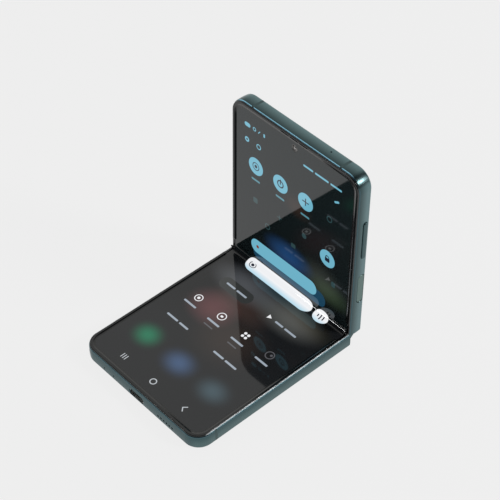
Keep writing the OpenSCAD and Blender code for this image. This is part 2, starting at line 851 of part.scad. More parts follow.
module hinge_blocks() {
    color("#8b9094") at_spine() both_ends() difference() {
        union() {
            for (x = [end_block, inner_wall, middle_wall, outer_wall]) along_x(x[0], x[1]) block_wall();
            for (side = [0, 1]) mirror([0, side, 0])
                translate([end_block[0], rail_y[0], floor_z + rail_z[0]])
                    cube([outer_wall[1] - end_block[0], rail_y[1] - rail_y[0], rail_z[1]]);
            translate([end_block[0], -shaft_y, floor_z])
                cube([inner_wall[1] - end_block[0], 2 * shaft_y, base_t]);
        }
        for (side = [-1, 1]) {
            along_x(end_block[0] - 1, outer_wall[1] + 1) translate([side * shaft_y, -shaft_depth])
                circle(shaft_r + run_gap);
            along_x(inner_wall[0] - 0.5, middle_wall[1] + 0.5) translate([side * idler_r, idler_z_at])
                circle(idler_axle_r + run_gap);
        }
        translate([spine_screw_x, 0, floor_z - 1]) cylinder(r = board_screw_r + 0.05, h = 3);
    }
}

module spine_screws() {
    color("silver") at_spine() both_ends() translate([spine_screw_x, 0, floor_z + base_t])
        rotate([180, 0, 0]) screw([0, 0], 0, base_t + spine_wall - 0.2, board_screw_r - 0.02, 1);
}

// Stacks of spring discs press on the walls and give the hinge its friction
module friction_discs() {
    length = inner_wall[0] - end_block[1];
    pitch = length / disc_count;
    color("#6b6f72") at_spine() both_ends() for (side = [-1, 1])
        translate([end_block[1], side * shaft_y, -shaft_depth]) rotate([0, 90, 0]) rotate_extrude()
            polygon(concat([[disc_bore, 0]],
                [for (i = [0 : disc_count]) [i % 2 == 0 ? disc_r[0] : disc_r[1], i * pitch]],
                [[disc_bore, length]]));
}

// The small caps that cover the display's edge at both ends of the fold
module crease_end_caps() {
    color("#2b3236") at_spine() both_ends() {
        difference() {
            along_x(spine_half - cap_stem, body_w / 2 - 0.45) {
                translate([0, cap_top - cap_half]) circle(cap_half);
                translate([-cap_half, -0.5]) square([2 * cap_half, 0.5 + cap_top - cap_half]);
            }
            for (side = [-1, 1]) along_x(spine_half, body_w / 2)
                translate([side * shaft_y, -shaft_depth]) circle(relief_r + cap_gap);
        }
        along_x(cap_inner_x, spine_half) intersection() {
            translate([0, cap_top - cap_half]) circle(cap_half);
            translate([-1, cap_tongue]) square([2, 1]);
        }
        translate([spine_half - cap_stem, -cap_half, cap_seat])
            cube([cap_stem, 2 * cap_half, -0.4 - cap_seat]);
    }
}

module lower_idler_gears() {
    color("#c9a45a") at_spine() translate([0, -idler_r, idler_z_at]) rotate([2 * fold, 0, 0])
        idler(mesh_angle + 180 / idler_z);
}
module upper_idler_gears() {
    color("#c9a45a") at_spine() translate([0, idler_r, idler_z_at]) rotate([-2 * fold, 0, 0])
        idler(180 - mesh_angle);
}

// ---------- inside the lower half ----------
module cell(size) {
    slab([size[0], size[1], cell_t], [0, size[2], mid_bottom], cell_r);
    translate([-cell_terrace[0] / 2, size[2] + size[1] / 2 - cell_r, mid_bottom - cell_t / 2])
        cube([cell_terrace[0], cell_r + cell_terrace[1], cell_terrace[2]]);
}

// A circuit board with its screws' holes and the connectors on its display side
module board(outline, posts, plugs) {
    difference() {
        translate([0, 0, board_bottom]) linear_extrude(board_t)
            for (part = outline) translate(part[0]) square(part[1]);
        for (at = posts) translate([at[0], at[1], board_bottom - 1])
            cylinder(r = board_screw_r + 0.02, h = board_t + 2);
    }
    for (plug = plugs) slab([plug[1][0], plug[1][1], plug_t + eps],
                            [plug[0][0], plug[0][1], board_top + plug_t], 0.3);
}

module lower_battery() { color("#2e3133") at_lower() cell(lower_cell); }

module charging_coil() {
    pitch = (coil_r[1] - coil_r[0]) / coil_turns;
    color("#b06f3a") at_lower() translate([0, lower_cell[2], glass_top]) rotate_extrude() {
        translate([coil_r[0], 0]) square([coil_r[1] - coil_r[0], coil_foil_t]);
        for (i = [0 : coil_turns - 1])
            translate([coil_r[0] + i * pitch, coil_foil_t - eps]) square(coil_wire);
    }
}

module sub_board() {
    color(board_green) at_lower() difference() {
        board(lower_board, lower_posts, lower_plugs);
        translate([usb_x - usb_notch[0] / 2, usb_notch[1], board_bottom - 1])
            cube([usb_notch[0], half_len, board_t + 3]);
        translate([haptic_at[0], haptic_at[1], board_bottom - 1])
            cylinder(r = haptic_r + 0.3, h = board_t + 3);
    }
}

module usb_receptacle() {
    color(steel) at_lower() {
        difference() {
            translate([usb_x, half_len - usb_setback, port_z]) rotate([90, 0, 0])
                linear_extrude(usb_depth)
                    capsule(usb_mouth[0] + 2 * usb_wall, usb_mouth[1] + 2 * usb_wall);
            translate([usb_x, half_len, port_z]) rotate([90, 0, 0])
                linear_extrude(usb_depth - usb_back_t) capsule(usb_mouth[0], usb_mouth[1]);
        }
        translate([usb_x - usb_tongue[0] / 2, half_len - usb_depth, port_z - usb_tongue[2] / 2])
            cube(usb_tongue);
        translate([usb_x - usb_foot[0] / 2, usb_notch[1] - 2.8, board_bottom - usb_foot[2]])
            cube(usb_foot);
    }
}

module loudspeaker() {
    color("#232628") at_lower() {
        slab(speaker_box, [speaker_at[0], speaker_at[1], mid_bottom], 1.5);
        translate([duct_x, duct_from, port_z - duct[1] / 2])
            cube([duct[0], mesh_u - duct_from, duct[1]]);
    }
}

module speaker_mesh() {
    color(steel) at_lower() translate([duct_x, mesh_u, port_z - duct[1] / 2])
        cube([duct[0], mesh_t, duct[1]]);
}

module bottom_microphone() {
    color(steel) at_lower() slab(mic_size, [small_holes[0], mic_u, board_bottom], 0.4);
}

module haptic_motor() {
    color(steel) at_lower() translate([haptic_at[0], haptic_at[1], mid_bottom - haptic_t])
        cylinder(r = haptic_r, h = haptic_t);
}

// ---------- inside the upper half ----------
module upper_battery() { color("#2e3133") at_upper() cell(upper_cell); }

module main_board() { color(board_green) at_upper() board(upper_board, upper_posts, upper_plugs); }

module board_shields() {
    color("#b9bcbe") at_upper() for (can = shields)
        slab([can[1][0], can[1][1], shield_t], [can[0][0], can[0][1], board_bottom]);
}

module cover_display() {
    color(black_glass) at_upper()
        slab(cover_panel, [cover_panel_at[0], cover_panel_at[1], glass_top + cover_panel[2]], 4);
}

module at_each_camera() { for (at = rear_cams) translate([at[0], at[1], 0]) children(); }

// A stepped hood that narrows to a domed front element. It faces +Z, and its back is at 0.
module lens(steps, t) {
    rotate_extrude() polygon(concat([[0, 0], [steps[0][0], 0]],
                                    [for (step = steps) [step[0], t - step[1]]]));
}

module rear_cameras() {
    color(dark) at_upper() at_each_camera() {
        slab(rear_box, [0, 0, mid_bottom]);
        translate([0, 0, rear_lens_front + rear_lens_t]) mirror([0, 0, 1])
            lens(rear_lens, rear_lens_t);
    }
}

module camera_rings() {
    bezel = -thick - ring_h;
    color(metal) at_upper() at_each_camera() rotate_extrude() polygon([
        [ring_r - ring_foot, glass_top + 0.3], [ring_r + ring_flange, glass_top + 0.3],
        [ring_r + ring_flange, glass_top], [ring_r, glass_top], [ring_r, bezel + 0.3],
        [ring_r - 0.09, bezel + 0.12], [ring_r - 0.3, bezel], [ring_r - 0.8, bezel],
        [ring_r - ring_lip, bezel + 0.3], [ring_r - ring_lip, window_top],
        [ring_r - ring_foot, window_top]
    ]);
}

module camera_windows() {
    color(black_glass) at_upper() at_each_camera() translate([0, 0, window_top - window_t])
        cylinder(r = ring_r - ring_lip - 0.02, h = window_t);
}

module flash_led() {
    color("ivory") at_upper() translate([flash_at[0], flash_at[1], 0]) {
        translate([0, 0, -thick]) cylinder(r = flash_r, h = glass_t + 0.3);
        slab(flash_box, [0, 0, board_bottom], 0.5);
    }
}

module front_camera() {
    color(dark) at_upper() translate([front_cam[0], front_cam[1], 0]) {
        translate([0, 0, mid_bottom - 0.5]) lens(front_lens, front_lens_front - mid_bottom + 0.5);
        slab(front_box, [0, 0, mid_bottom], 0.6);
    }
}

module earpiece() {
    color("#232628") at_upper() {
        slab(earpiece_box, [earpiece_at[0], earpiece_at[1], mid_bottom], 1);
        // the duct from the speaker to the slit in the rim
        translate([earpiece_at[0] + 5, half_len - 2.9, mid_bottom - earpiece_duct[2]])
            cube(earpiece_duct);
    }
}

module earpiece_mesh() {
    color(steel) at_upper() translate([front_cam[0], half_len - slit_inset, -groove_d])
        linear_extrude(0.2) capsule(earpiece_slit[0] - 0.04, earpiece_slit[1] - 0.04);
}

module top_microphone() {
    color(steel) at_upper()
        slab(top_mic_size, [top_mic_x, half_len - wall_t - top_mic_size[1] / 2, mid_bottom], 0.4);
}

module sim_socket() {
    slot_w = tray_plate[1] + 2 * tray_gap;
    slot_h = tray_plate[2] + 2 * tray_gap;
    color(steel) at_upper() difference() {
        translate([socket_x, tray_u - socket_size[1] / 2, port_z - socket_floor])
            cube([socket_size[0], socket_size[1], board_bottom - port_z + socket_floor]);
        translate([socket_x - 1, tray_u - slot_w / 2, port_z - slot_h / 2])
            cube([socket_size[0] + 0.5, slot_w, slot_h]);
    }
}

module sim_tray() {
    floor_z = port_z - tray_card[2];
    color(metal) at_upper() difference() {
        union() {
            translate([tray_face_t - body_w / 2, tray_u, port_z]) rotate([90, 0, -90])
                soft_capsule(tray_face[0], tray_face[1], tray_face_t, 0.12);
            translate([1 - body_w / 2, tray_u - tray_plate[1] / 2, port_z - tray_plate[2] / 2])
                cube(tray_plate);
        }
        translate([2.6 - body_w / 2, tray_u - tray_card[1] / 2, floor_z])
            cube([tray_card[0], tray_card[1], 1]);
        translate([-body_w / 2 - 1, tray_u + tray_pin[0], port_z]) rotate([0, 90, 0])
            cylinder(r = tray_pin[1], h = 3);
    }
}

module key_switches() {
    color("silver") at_upper() for (u = switch_u)
        translate([key_rib[1], u - switch_size[1] / 2, key_z - switch_size[2] / 2]) cube(switch_size);
}

// ---------- keys ----------
// A key from its back at x0 to its face at x1
module key_solid(u, size, x0, x1, edge) {
    translate([x0, u, key_z]) rotate([90, 0, 90]) soft_capsule(size[0], size[1], x1 - x0, edge);
}

module key_plate(u, size, x0, x1) {
    translate([x0, u, key_z]) rotate([90, 0, 90]) linear_extrude(x1 - x0) capsule(size[0], size[1]);
}

module side_key_cap() {
    wall = body_w / 2;
    color("#6f8588") at_upper() {
        key_solid(side_key_u, side_key - [2, 2] * key_gap, wall - key_cap_t, wall - side_key_sunk,
                  key_round[1]);
        key_plate(side_key_u, [side_key[0] - 1, key_flange[1]], wall - key_back, wall - 1);
        key_plate(side_key_u, [side_key[0] + key_flange[0], key_flange[1]], wall - key_back,
                  wall - wall_t - eps);
    }
}

module volume_key_cap() {
    wall = body_w / 2;
    color(metal) at_upper() {
        key_solid(volume_u, volume_key - [2, 2] * key_gap, wall - key_back, wall + volume_proud,
                  key_round[0]);
        translate([wall - key_back, volume_u - 4, key_z - 1.3])
            cube([key_back - wall_t - 0.12, 8, 2.6]);
    }
}

lower_frame();
lower_antenna_bands();
lower_back_glass();
lower_display_rim();
lower_support_plate();
lower_display();
lower_battery();
charging_coil();
sub_board();
usb_receptacle();
loudspeaker();
speaker_mesh();
bottom_microphone();
haptic_motor();
lower_hinge_arms();
lower_hinge_shafts();
lower_sync_gears();
lower_screws();
lower_hinge_brush();
spine_cover();
hinge_blocks();
spine_screws();
friction_discs();
crease_end_caps();
display_fold();
hinge_flex();
lower_idler_gears();
upper_idler_gears();
upper_frame();
upper_antenna_bands();
upper_back_glass();
cover_display();
upper_display_rim();
upper_support_plate();
upper_display();
upper_battery();
main_board();
board_shields();
rear_cameras();
camera_rings();
camera_windows();
flash_led();
front_camera();
earpiece();
earpiece_mesh();
top_microphone();
upper_hinge_arms();
upper_hinge_shafts();
upper_sync_gears();
upper_screws();
upper_hinge_brush();
sim_socket();
key_switches();
side_key_cap();
volume_key_cap();
sim_tray();
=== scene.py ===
"""The looks of a folding phone that stands half open on a pale table."""
import json
import math

import bmesh
import bpy
from mathutils import Matrix, Vector
from mathutils.geometry import interpolate_bezier


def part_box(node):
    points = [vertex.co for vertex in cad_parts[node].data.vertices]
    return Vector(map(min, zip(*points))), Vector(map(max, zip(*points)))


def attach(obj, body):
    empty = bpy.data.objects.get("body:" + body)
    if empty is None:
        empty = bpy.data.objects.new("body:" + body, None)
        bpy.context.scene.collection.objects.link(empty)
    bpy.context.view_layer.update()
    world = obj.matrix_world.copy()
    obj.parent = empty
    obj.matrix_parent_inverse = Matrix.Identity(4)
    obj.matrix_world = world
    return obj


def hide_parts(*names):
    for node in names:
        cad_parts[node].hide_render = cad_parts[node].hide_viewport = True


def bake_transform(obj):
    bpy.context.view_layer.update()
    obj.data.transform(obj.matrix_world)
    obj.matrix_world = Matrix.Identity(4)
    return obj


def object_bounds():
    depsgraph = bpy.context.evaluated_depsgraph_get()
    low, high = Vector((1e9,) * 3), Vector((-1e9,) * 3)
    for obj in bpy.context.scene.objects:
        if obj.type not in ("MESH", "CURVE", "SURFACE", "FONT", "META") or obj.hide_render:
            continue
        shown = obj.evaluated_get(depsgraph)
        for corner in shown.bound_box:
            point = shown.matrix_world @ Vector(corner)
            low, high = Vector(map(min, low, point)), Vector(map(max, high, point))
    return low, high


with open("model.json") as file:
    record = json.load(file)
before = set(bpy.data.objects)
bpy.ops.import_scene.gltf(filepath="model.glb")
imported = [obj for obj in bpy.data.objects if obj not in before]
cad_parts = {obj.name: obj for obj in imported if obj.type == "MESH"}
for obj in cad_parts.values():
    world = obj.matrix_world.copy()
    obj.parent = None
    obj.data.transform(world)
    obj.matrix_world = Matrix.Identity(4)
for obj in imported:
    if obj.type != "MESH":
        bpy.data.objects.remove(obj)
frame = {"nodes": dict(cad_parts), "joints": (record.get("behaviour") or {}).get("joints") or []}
cad_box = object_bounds()

MM = 0.001

# ---------- the phone's two halves and its spine, from the frame ----------
JOINTS = {joint["name"]: joint for joint in frame["joints"]}
LOWER_PIVOT = Vector(JOINTS["fold_lower"]["pos_m"])
UPPER_PIVOT = Vector(JOINTS["fold_upper"]["pos_m"])
DISPLAY_LOW, DISPLAY_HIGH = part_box("lower_display")
HALF_FOLD = math.atan2(UPPER_PIVOT.z - LOWER_PIVOT.z, UPPER_PIVOT.y - LOWER_PIVOT.y)
SHAFT_Y = (UPPER_PIVOT - LOWER_PIVOT).length / 2
SHAFT_DEPTH = DISPLAY_HIGH.z - LOWER_PIVOT.z
FOLD_Y = LOWER_PIVOT.y + SHAFT_Y
HALF_W = DISPLAY_HIGH.x
SHEET_LEN = FOLD_Y - DISPLAY_LOW.y
BEND_LEN = FOLD_Y - DISPLAY_HIGH.y


def turned(pivot, angle):
    """A turn about the line along X through the pivot"""
    return Matrix.Translation(pivot) @ Matrix.Rotation(angle, 4, "X") @ Matrix.Translation(-pivot)


# A half's own space: X along the fold, Y away from it, Z = 0 on the display's face
FLAT = Matrix.Translation((0, FOLD_Y, DISPLAY_HIGH.z))
LOWER = FLAT @ Matrix.Scale(-1, 4, (0, 1, 0))
SPINE = turned(LOWER_PIVOT, HALF_FOLD) @ FLAT
UPPER = turned(UPPER_PIVOT, HALF_FOLD) @ SPINE


# ---------- modelling ----------
def put_down():
    """Leaves edit mode with nothing selected"""
    if bpy.context.mode != "OBJECT":
        bpy.ops.object.mode_set(mode="OBJECT")
    bpy.ops.object.select_all(action="DESELECT")


def take_up(piece, pick_by="VERT"):
    """Opens a piece in edit mode with nothing selected"""
    put_down()
    piece.select_set(True)
    bpy.context.view_layer.objects.active = piece
    bpy.ops.object.mode_set(mode="EDIT")
    bpy.ops.mesh.select_mode(type=pick_by)
    bpy.ops.mesh.select_all(action="DESELECT")


def pick(piece, kind, test):
    """Selects the verts, edges or faces of a piece in edit mode that pass the test"""
    mesh = bmesh.from_edit_mesh(piece.data)
    for item in getattr(mesh, kind):
        item.select_set(bool(test(item)))
    bmesh.update_edit_mesh(piece.data)


def flat_plate(name, half_w, low, high, z=0):
    """A flat rectangle of this half width, from low to high along Y"""
    put_down()
    bpy.ops.mesh.primitive_plane_add(size=2, location=(0, (low + high) / 2, z))
    plate = bpy.context.object
    plate.name = name
    plate.scale = (half_w, (high - low) / 2, 1)
    bpy.ops.object.transform_apply(location=True, rotation=True, scale=True)
    return plate


def cut_across(place, **settings):
    """Cuts all of a piece in edit mode across Y at a place"""
    bpy.ops.mesh.select_all(action="SELECT")
    bpy.ops.mesh.bisect(plane_co=(0, place, 0), plane_no=(0, 1, 0), **settings)


def close_seams(piece, gap=0.001 * MM):
    """Merges a piece's doubled points and turns its faces outwards"""
    take_up(piece)
    bpy.ops.mesh.select_all(action="SELECT")
    bpy.ops.mesh.remove_doubles(threshold=gap)
    bpy.ops.mesh.select_all(action="SELECT")
    bpy.ops.mesh.normals_make_consistent(inside=False)
    put_down()


def finish_with(piece, kind, **settings):
    """Adds one modifier and applies it"""
    put_down()
    piece.select_set(True)
    bpy.context.view_layer.objects.active = piece
    modifier = piece.modifiers.new(kind.title(), kind)
    for name, value in settings.items():
        setattr(modifier, name, value)
    bpy.ops.object.modifier_apply(modifier=modifier.name)


def smooth(piece, degrees=30):
    put_down()
    piece.select_set(True)
    bpy.context.view_layer.objects.active = piece
    bpy.ops.object.shade_smooth_by_angle(angle=math.radians(degrees))


def set_in_place(piece, space):
    """Moves a piece's mesh from a half's own space into the frame"""
    piece.data.transform(space)
    if space.determinant() < 0:
        piece.data.flip_normals()
    piece.data.update()


# ---------- shader arithmetic ----------
class Wire:
    """A material's socket in sums: each operation adds its Math node."""

    def __init__(self, finish, socket):
        self.finish, self.socket = finish, socket

    def math(self, kind, *values, clamp=False):
        return self.finish.node("Math", {"operation": kind, "use_clamp": clamp}, dict(enumerate(values)))

    def __add__(self, other):
        return self.math("ADD", self, other)

    def __sub__(self, other):
        return self.math("SUBTRACT", self, other)

    def __rsub__(self, other):
        return self.math("SUBTRACT", other, self)

    def __mul__(self, other):
        return self.math("MULTIPLY", self, other)

    def __truediv__(self, other):
        return self.math("DIVIDE", self, other)

    def __pow__(self, other):
        return self.math("POWER", self, other)

    __radd__ = __add__
    __rmul__ = __mul__

    def or_(self, other):
        return self.math("MAXIMUM", self, other)

    def size(self):
        return self.math("ABSOLUTE", self)

    def clear(self, start, end, way="LINEAR"):
        """0 at the start, 1 at the end, and straight or smooth between"""
        return self.finish.node("MapRange", {"interpolation_type": way},
                                {0: self, 1: start, 2: end, 3: 0.0, 4: 1.0})


class Finish:
    """A material, or the studio, being made: its nodes and its main shader."""

    def __init__(self, name, shelf="materials", shader="Principled BSDF", **values):
        self.material = getattr(bpy.data, shelf).new(name)
        self.material.use_nodes = True
        self.tree = self.material.node_tree
        self.shader = self.tree.nodes[shader]
        self.set(**values)

    def node(self, kind, settings, inputs, output=0):
        """Any node: its settings are set first, then the values or wires of its sockets"""
        node = self.tree.nodes.new("ShaderNode" + kind)
        for name, value in settings.items():
            if name == "stops":
                ramp = node.color_ramp.elements
                while len(ramp) < len(value):
                    ramp.new(1.0)
                for stop, (place, tone) in zip(ramp, value):
                    stop.position, stop.color = place, tone
            else:
                setattr(node, name, value)
        for name, value in inputs.items():
            self.join(value, node.inputs[name])
        return Wire(self, node.outputs[output])

    def join(self, value, socket):
        if isinstance(value, Wire):
            self.tree.links.new(value.socket, socket)
        else:
            socket.default_value = value

    def set(self, **values):
        """Sets the shader's sockets; a name's underscores stand for spaces"""
        for name, value in values.items():
            self.join(value, self.shader.inputs[name.replace("_", " ")])

    def place(self):
        return self.node("TexCoord", {}, {}, "Object")

    def part(self, wire, axis=0):
        """One of a vector's three numbers"""
        return self.node("SeparateXYZ", {}, {0: wire}, axis)

    def along(self, half, axis):
        """How far a point lies along an axis of a half's own space"""
        line = half.col[axis].to_3d()
        return self.vector("DOT_PRODUCT", self.place(), line, output=1) - line.dot(half.translation)

    def noise(self, size, detail=2.0, stretch=(1, 1, 1)):
        """Noise with features of about this size in millimetres, longer where stretch is over 1"""
        scale = [1 / (size * MM * s) for s in stretch]
        where = self.vector("MULTIPLY", self.place(), scale)
        return self.node("TexNoise", {}, {"Vector": where, "Scale": 1.0, "Detail": detail, "Roughness": 0.5})

    def vector(self, kind, *values, output=0):
        return self.node("VectorMath", {"operation": kind}, dict(enumerate(values)), output)

    def mix(self, share, first, second, blend="MIX"):
        """Two colours mixed by a share"""
        return self.node("Mix", {"data_type": "RGBA", "blend_type": blend},
                         {0: share, 6: first, 7: second}, 2)

    def bumps(self, height, depth, strength=1.0):
        """Raises the surface by a height of 0 to 1 times a depth in millimetres"""
        normal = self.node("Bump", {}, {"Height": height, "Distance": depth * MM, "Strength": strength})
        self.set(Normal=normal)


BLACK = (0.0, 0.0, 0.0, 1.0)
# The tone of the painted shade in the seam round the side key
SEAM_SHADE = (0.008, 0.014, 0.015, 1)


# ---------- finishes ----------
def anodised_frame(name="anodised_frame", half=None):
    """Bead-blasted, anodised aluminium; on a half's band, painted shade darkens it towards the display and
    painted light brightens it towards the back, and a painted highlight line runs along its front edge
    """
    f = Finish(name, Metallic=1.0)
    tint = f.mix(f.noise(14, 3), (0.066, 0.112, 0.118, 1), (0.078, 0.13, 0.136, 1))
    grain = f.noise(0.09, 2)
    if half is None:
        f.set(Roughness=grain * 0.1 + 0.34)
    else:
        depth, far = -1 * f.along(half, 2), f.along(half, 1)
        end = far.clear(SHEET_LEN + 0.2 * MM, SHEET_LEN + 1.6 * MM)
        normal = f.node("TexCoord", {}, {}, "Normal")
        facing = f.vector("DOT_PRODUCT", normal, half.col[2].to_3d(), output=1)
        # A painted highlight line on the rounded front edge, standing in for a lamp's reflection there
        lip = facing.clear(0.12, 0.25) * facing.clear(0.75, 0.6)
        turn = f.part(normal).size()
        corner = turn.clear(0.1, 0.45) * turn.clear(0.995, 0.9) * facing.size().clear(0.75, 0.5)
        # Painted shade and painted light across the band: darker towards the display, lighter towards the
        # back; the third colour is the painted highlight on the front edge
        if half is UPPER:
            shade = depth.clear(1.2 * MM, 6 * MM) * end + depth.clear(0.4 * MM, 4.6 * MM) * (1 - end)
            dark, light, edge_highlight = (0.62, 0.6, 0.6, 1), (2.0, 1.9, 1.9, 1), (0.36, 0.74, 0.95, 1)
            lip = lip * (end * 0.85 + 0.06)
        else:
            shade = depth.clear(1 * MM, 4 * MM) * (1 - end) + 0.1
            dark, light, edge_highlight = (0.78, 0.84, 0.86, 1), (1.25, 1.22, 1.2, 1), (0.085, 0.15, 0.175, 1)
        # Lays on the painted shade and light, then the painted highlight line along the front edge
        tint = f.mix(shade, f.mix(1.0, tint, dark, "MULTIPLY"), f.mix(1.0, tint, light, "MULTIPLY"))
        tint = f.mix(lip, tint, edge_highlight)
        if half is UPPER:
            # Painted shade: a dark line in the seam round the flush side key
            tint = f.mix(seam_round("side_key_cap", f, half, depth, far), tint, SEAM_SHADE)
        f.set(Roughness=grain * 0.08 + (0.36 - corner * 0.13))
    f.set(Base_Color=tint)
    f.bumps(grain, 0.003, 0.4)
    return f.material


def seam_round(node, f, half, depth, far):
    """1 in the line of painted shade round a key that is flush with the frame, where the gap's shadow would
    fall
    """
    points = [half.inverted() @ vertex.co for vertex in frame["nodes"][node].data.vertices]
    outer = [point for point in points if point.x > max(p.x for p in points) - 0.6 * MM]
    low, high = min(p.y for p in outer), max(p.y for p in outer)
    front, back = max(p.z for p in outer), min(p.z for p in outer)
    r = (front - back) / 2
    along = (far - (low + high) / 2).size() - ((high - low) / 2 - r)
    off = f.node("CombineXYZ", {}, {0: along.or_(0), 1: depth + (front + back) / 2})
    gap = (f.vector("LENGTH", off, output=1) - (r + 0.1 * MM)).size()
    side = f.part(f.place()).clear(34 * MM, 34.5 * MM)
    return gap.clear(0.16 * MM, 0.08 * MM) * side


def antenna_filling():
    """Moulded polymer bands in the frame's breaks, with the metal's colour and a metallic film"""
    f = Finish("antenna_filling", Metallic=0.85)
    f.set(Base_Color=f.mix(f.noise(0.4), (0.056, 0.096, 0.1, 1), (0.066, 0.108, 0.112, 1)))
    f.set(Roughness=f.noise(0.3) * 0.1 + 0.42)
    return f.material


def key_coat():
    """The side key's satin ceramic coat over its touch sensor"""
    f = Finish("key_coat", Metallic=0.9)
    f.set(Base_Color=f.mix(f.noise(3), (0.122, 0.188, 0.176, 1), (0.135, 0.205, 0.19, 1)))
    f.set(Roughness=f.noise(0.15) * 0.08 + 0.34)
    return f.material


def satin_glass():
    """Etched glass over a painted film, with a fine pearl in it"""
    f = Finish("satin_glass", Coat_Weight=0.6, Coat_Roughness=0.32, Metallic=0.25)
    pearl = f.noise(0.05, 1)
    f.set(Base_Color=f.mix(pearl, (0.055, 0.085, 0.092, 1), (0.08, 0.118, 0.125, 1)))
    f.set(Roughness=f.noise(6, 3) * 0.08 + 0.38)
    f.bumps(f.noise(0.03, 1), 0.001, 0.3)
    return f.material


def clear_black_glass():
    """Polished glass, printed black behind"""
    f = Finish("clear_black_glass", IOR=1.52, Coat_Weight=0.3, Coat_Roughness=0.02)
    f.set(Base_Color=f.mix(f.noise(20), (0.006, 0.007, 0.008, 1), (0.009, 0.01, 0.011, 1)))
    f.set(Roughness=f.noise(9, 3) * 0.03 + 0.035)
    return f.material


def resting_cover_panel():
    """The cover display, switched off: a little bluer than the glass round it"""
    f = Finish("resting_cover_panel", IOR=1.5)
    f.set(Base_Color=f.mix(f.noise(30), (0.006, 0.007, 0.012, 1), (0.008, 0.009, 0.015, 1)))
    f.set(Roughness=f.noise(9, 3) * 0.02 + 0.05)
    return f.material


# How far out on each side the rim's lip gets its painted highlight, and where its dull skirt stops short of
# the corner
LIP_HIGHLIGHT_SPAN = (35.16 * MM, 35.24 * MM)
SKIRT_STOPS = (77.5 * MM, 74 * MM)
RIM_BLACK = (0.005, 0.006, 0.0065, 1)


def soft_rim(half=LOWER, lip=RIM_BLACK, skirt=(34.25, 33.95)):
    """The soft black edging of a display: a painted highlight along its outer lip, and a dull skirt between
    two places across that is made metallic black, so that it reflects almost nothing and reads as the shade
    in the gap at the display's edge
    """
    f = Finish("soft_rim", Specular_IOR_Level=0.5)
    across = f.part(f.place())
    # Painted highlight along the rim's rounded outer edge, broken up by noise
    lip_highlight_mask = across.size().clear(*LIP_HIGHLIGHT_SPAN) * f.noise(3).clear(0.2, 0.5)
    grain = f.noise(0.06, 2)
    tint = f.mix(f.noise(2), RIM_BLACK, (0.008, 0.009, 0.0095, 1))
    f.set(Base_Color=f.mix(lip_highlight_mask, tint, lip), Roughness=grain * 0.08 + 0.14)
    # The skirt stands in for shade: metallic black that reflects almost nothing
    outer, inner = (-place * MM for place in skirt)
    dull = across.clear(outer - 0.1 * MM, outer) * across.clear(inner, inner - 0.1 * MM)
    f.set(Metallic=dull * f.along(half, 1).clear(*SKIRT_STOPS))
    f.bumps(grain, 0.003, 0.3)
    return f.material


def coated_lens(name, middles, stops, ring=(5, 5.1)):
    """A lens's glass, coloured by how far a point is from its middle, and a metal ring between two radii"""
    f = Finish(name, Coat_Weight=0.7, Coat_Roughness=0.02, IOR=1.6)
    far, *others = (f.vector("DISTANCE", f.place(), middle, output=1) for middle in middles)
    for other in others:
        far = far.math("MINIMUM", far, other)
    f.set(Base_Color=f.node("ValToRGB", {"stops": stops}, {0: far / (6 * MM)}))
    f.set(Roughness=f.noise(2) * 0.04 + 0.04)
    inner, outer = ring[0] * MM, ring[1] * MM
    f.set(Metallic=far.clear(inner - 0.03 * MM, inner) * far.clear(outer + 0.03 * MM, outer))
    return f.material


def brushed_steel():
    f = Finish("brushed_steel", Metallic=1.0)
    lines = f.noise(0.04, 2, (40, 1, 1))
    f.set(Base_Color=f.mix(lines, (0.42, 0.42, 0.41, 1), (0.58, 0.58, 0.57, 1)))
    f.set(Roughness=lines * 0.15 + 0.25)
    f.bumps(lines, 0.003, 0.5)
    return f.material


def machined_steel():
    f = Finish("machined_steel", Metallic=1.0)
    cuts = f.noise(0.08, 2, (1, 12, 12))
    f.set(Base_Color=f.mix(f.noise(1.5), (0.3, 0.31, 0.32, 1), (0.4, 0.41, 0.42, 1)))
    f.set(Roughness=cuts * 0.15 + 0.22)
    f.bumps(cuts, 0.004, 0.5)
    return f.material


def sintered_gear():
    """Sintered steel, oiled and slightly golden"""
    f = Finish("sintered_gear", Metallic=1.0)
    pores = f.noise(0.05, 3)
    f.set(Base_Color=f.mix(pores, (0.3, 0.25, 0.17, 1), (0.42, 0.36, 0.25, 1)))
    f.set(Roughness=pores * 0.2 + 0.28)
    f.bumps(pores, 0.006, 0.6)
    return f.material


def plated_screw():
    f = Finish("plated_screw", Metallic=1.0)
    f.set(Base_Color=f.mix(f.noise(0.4), (0.5, 0.5, 0.5, 1), (0.62, 0.62, 0.61, 1)))
    f.set(Roughness=f.noise(0.1) * 0.2 + 0.18)
    return f.material


def battery_wrap():
    """Dark laminated foil with soft creases"""
    f = Finish("battery_wrap", Metallic=0.35, Coat_Weight=0.3, Coat_Roughness=0.25)
    creases = f.noise(5, 4)
    f.set(Base_Color=f.mix(creases, (0.02, 0.021, 0.023, 1), (0.035, 0.036, 0.039, 1)))
    f.set(Roughness=creases * 0.2 + 0.25)
    f.bumps(creases, 0.08, 0.5)
    return f.material


def enamelled_copper():
    f = Finish("enamelled_copper", Metallic=1.0, Coat_Weight=0.4, Coat_Roughness=0.15)
    f.set(Base_Color=f.mix(f.noise(0.6), (0.55, 0.24, 0.11, 1), (0.68, 0.32, 0.16, 1)))
    f.set(Roughness=f.noise(0.2) * 0.12 + 0.24)
    return f.material


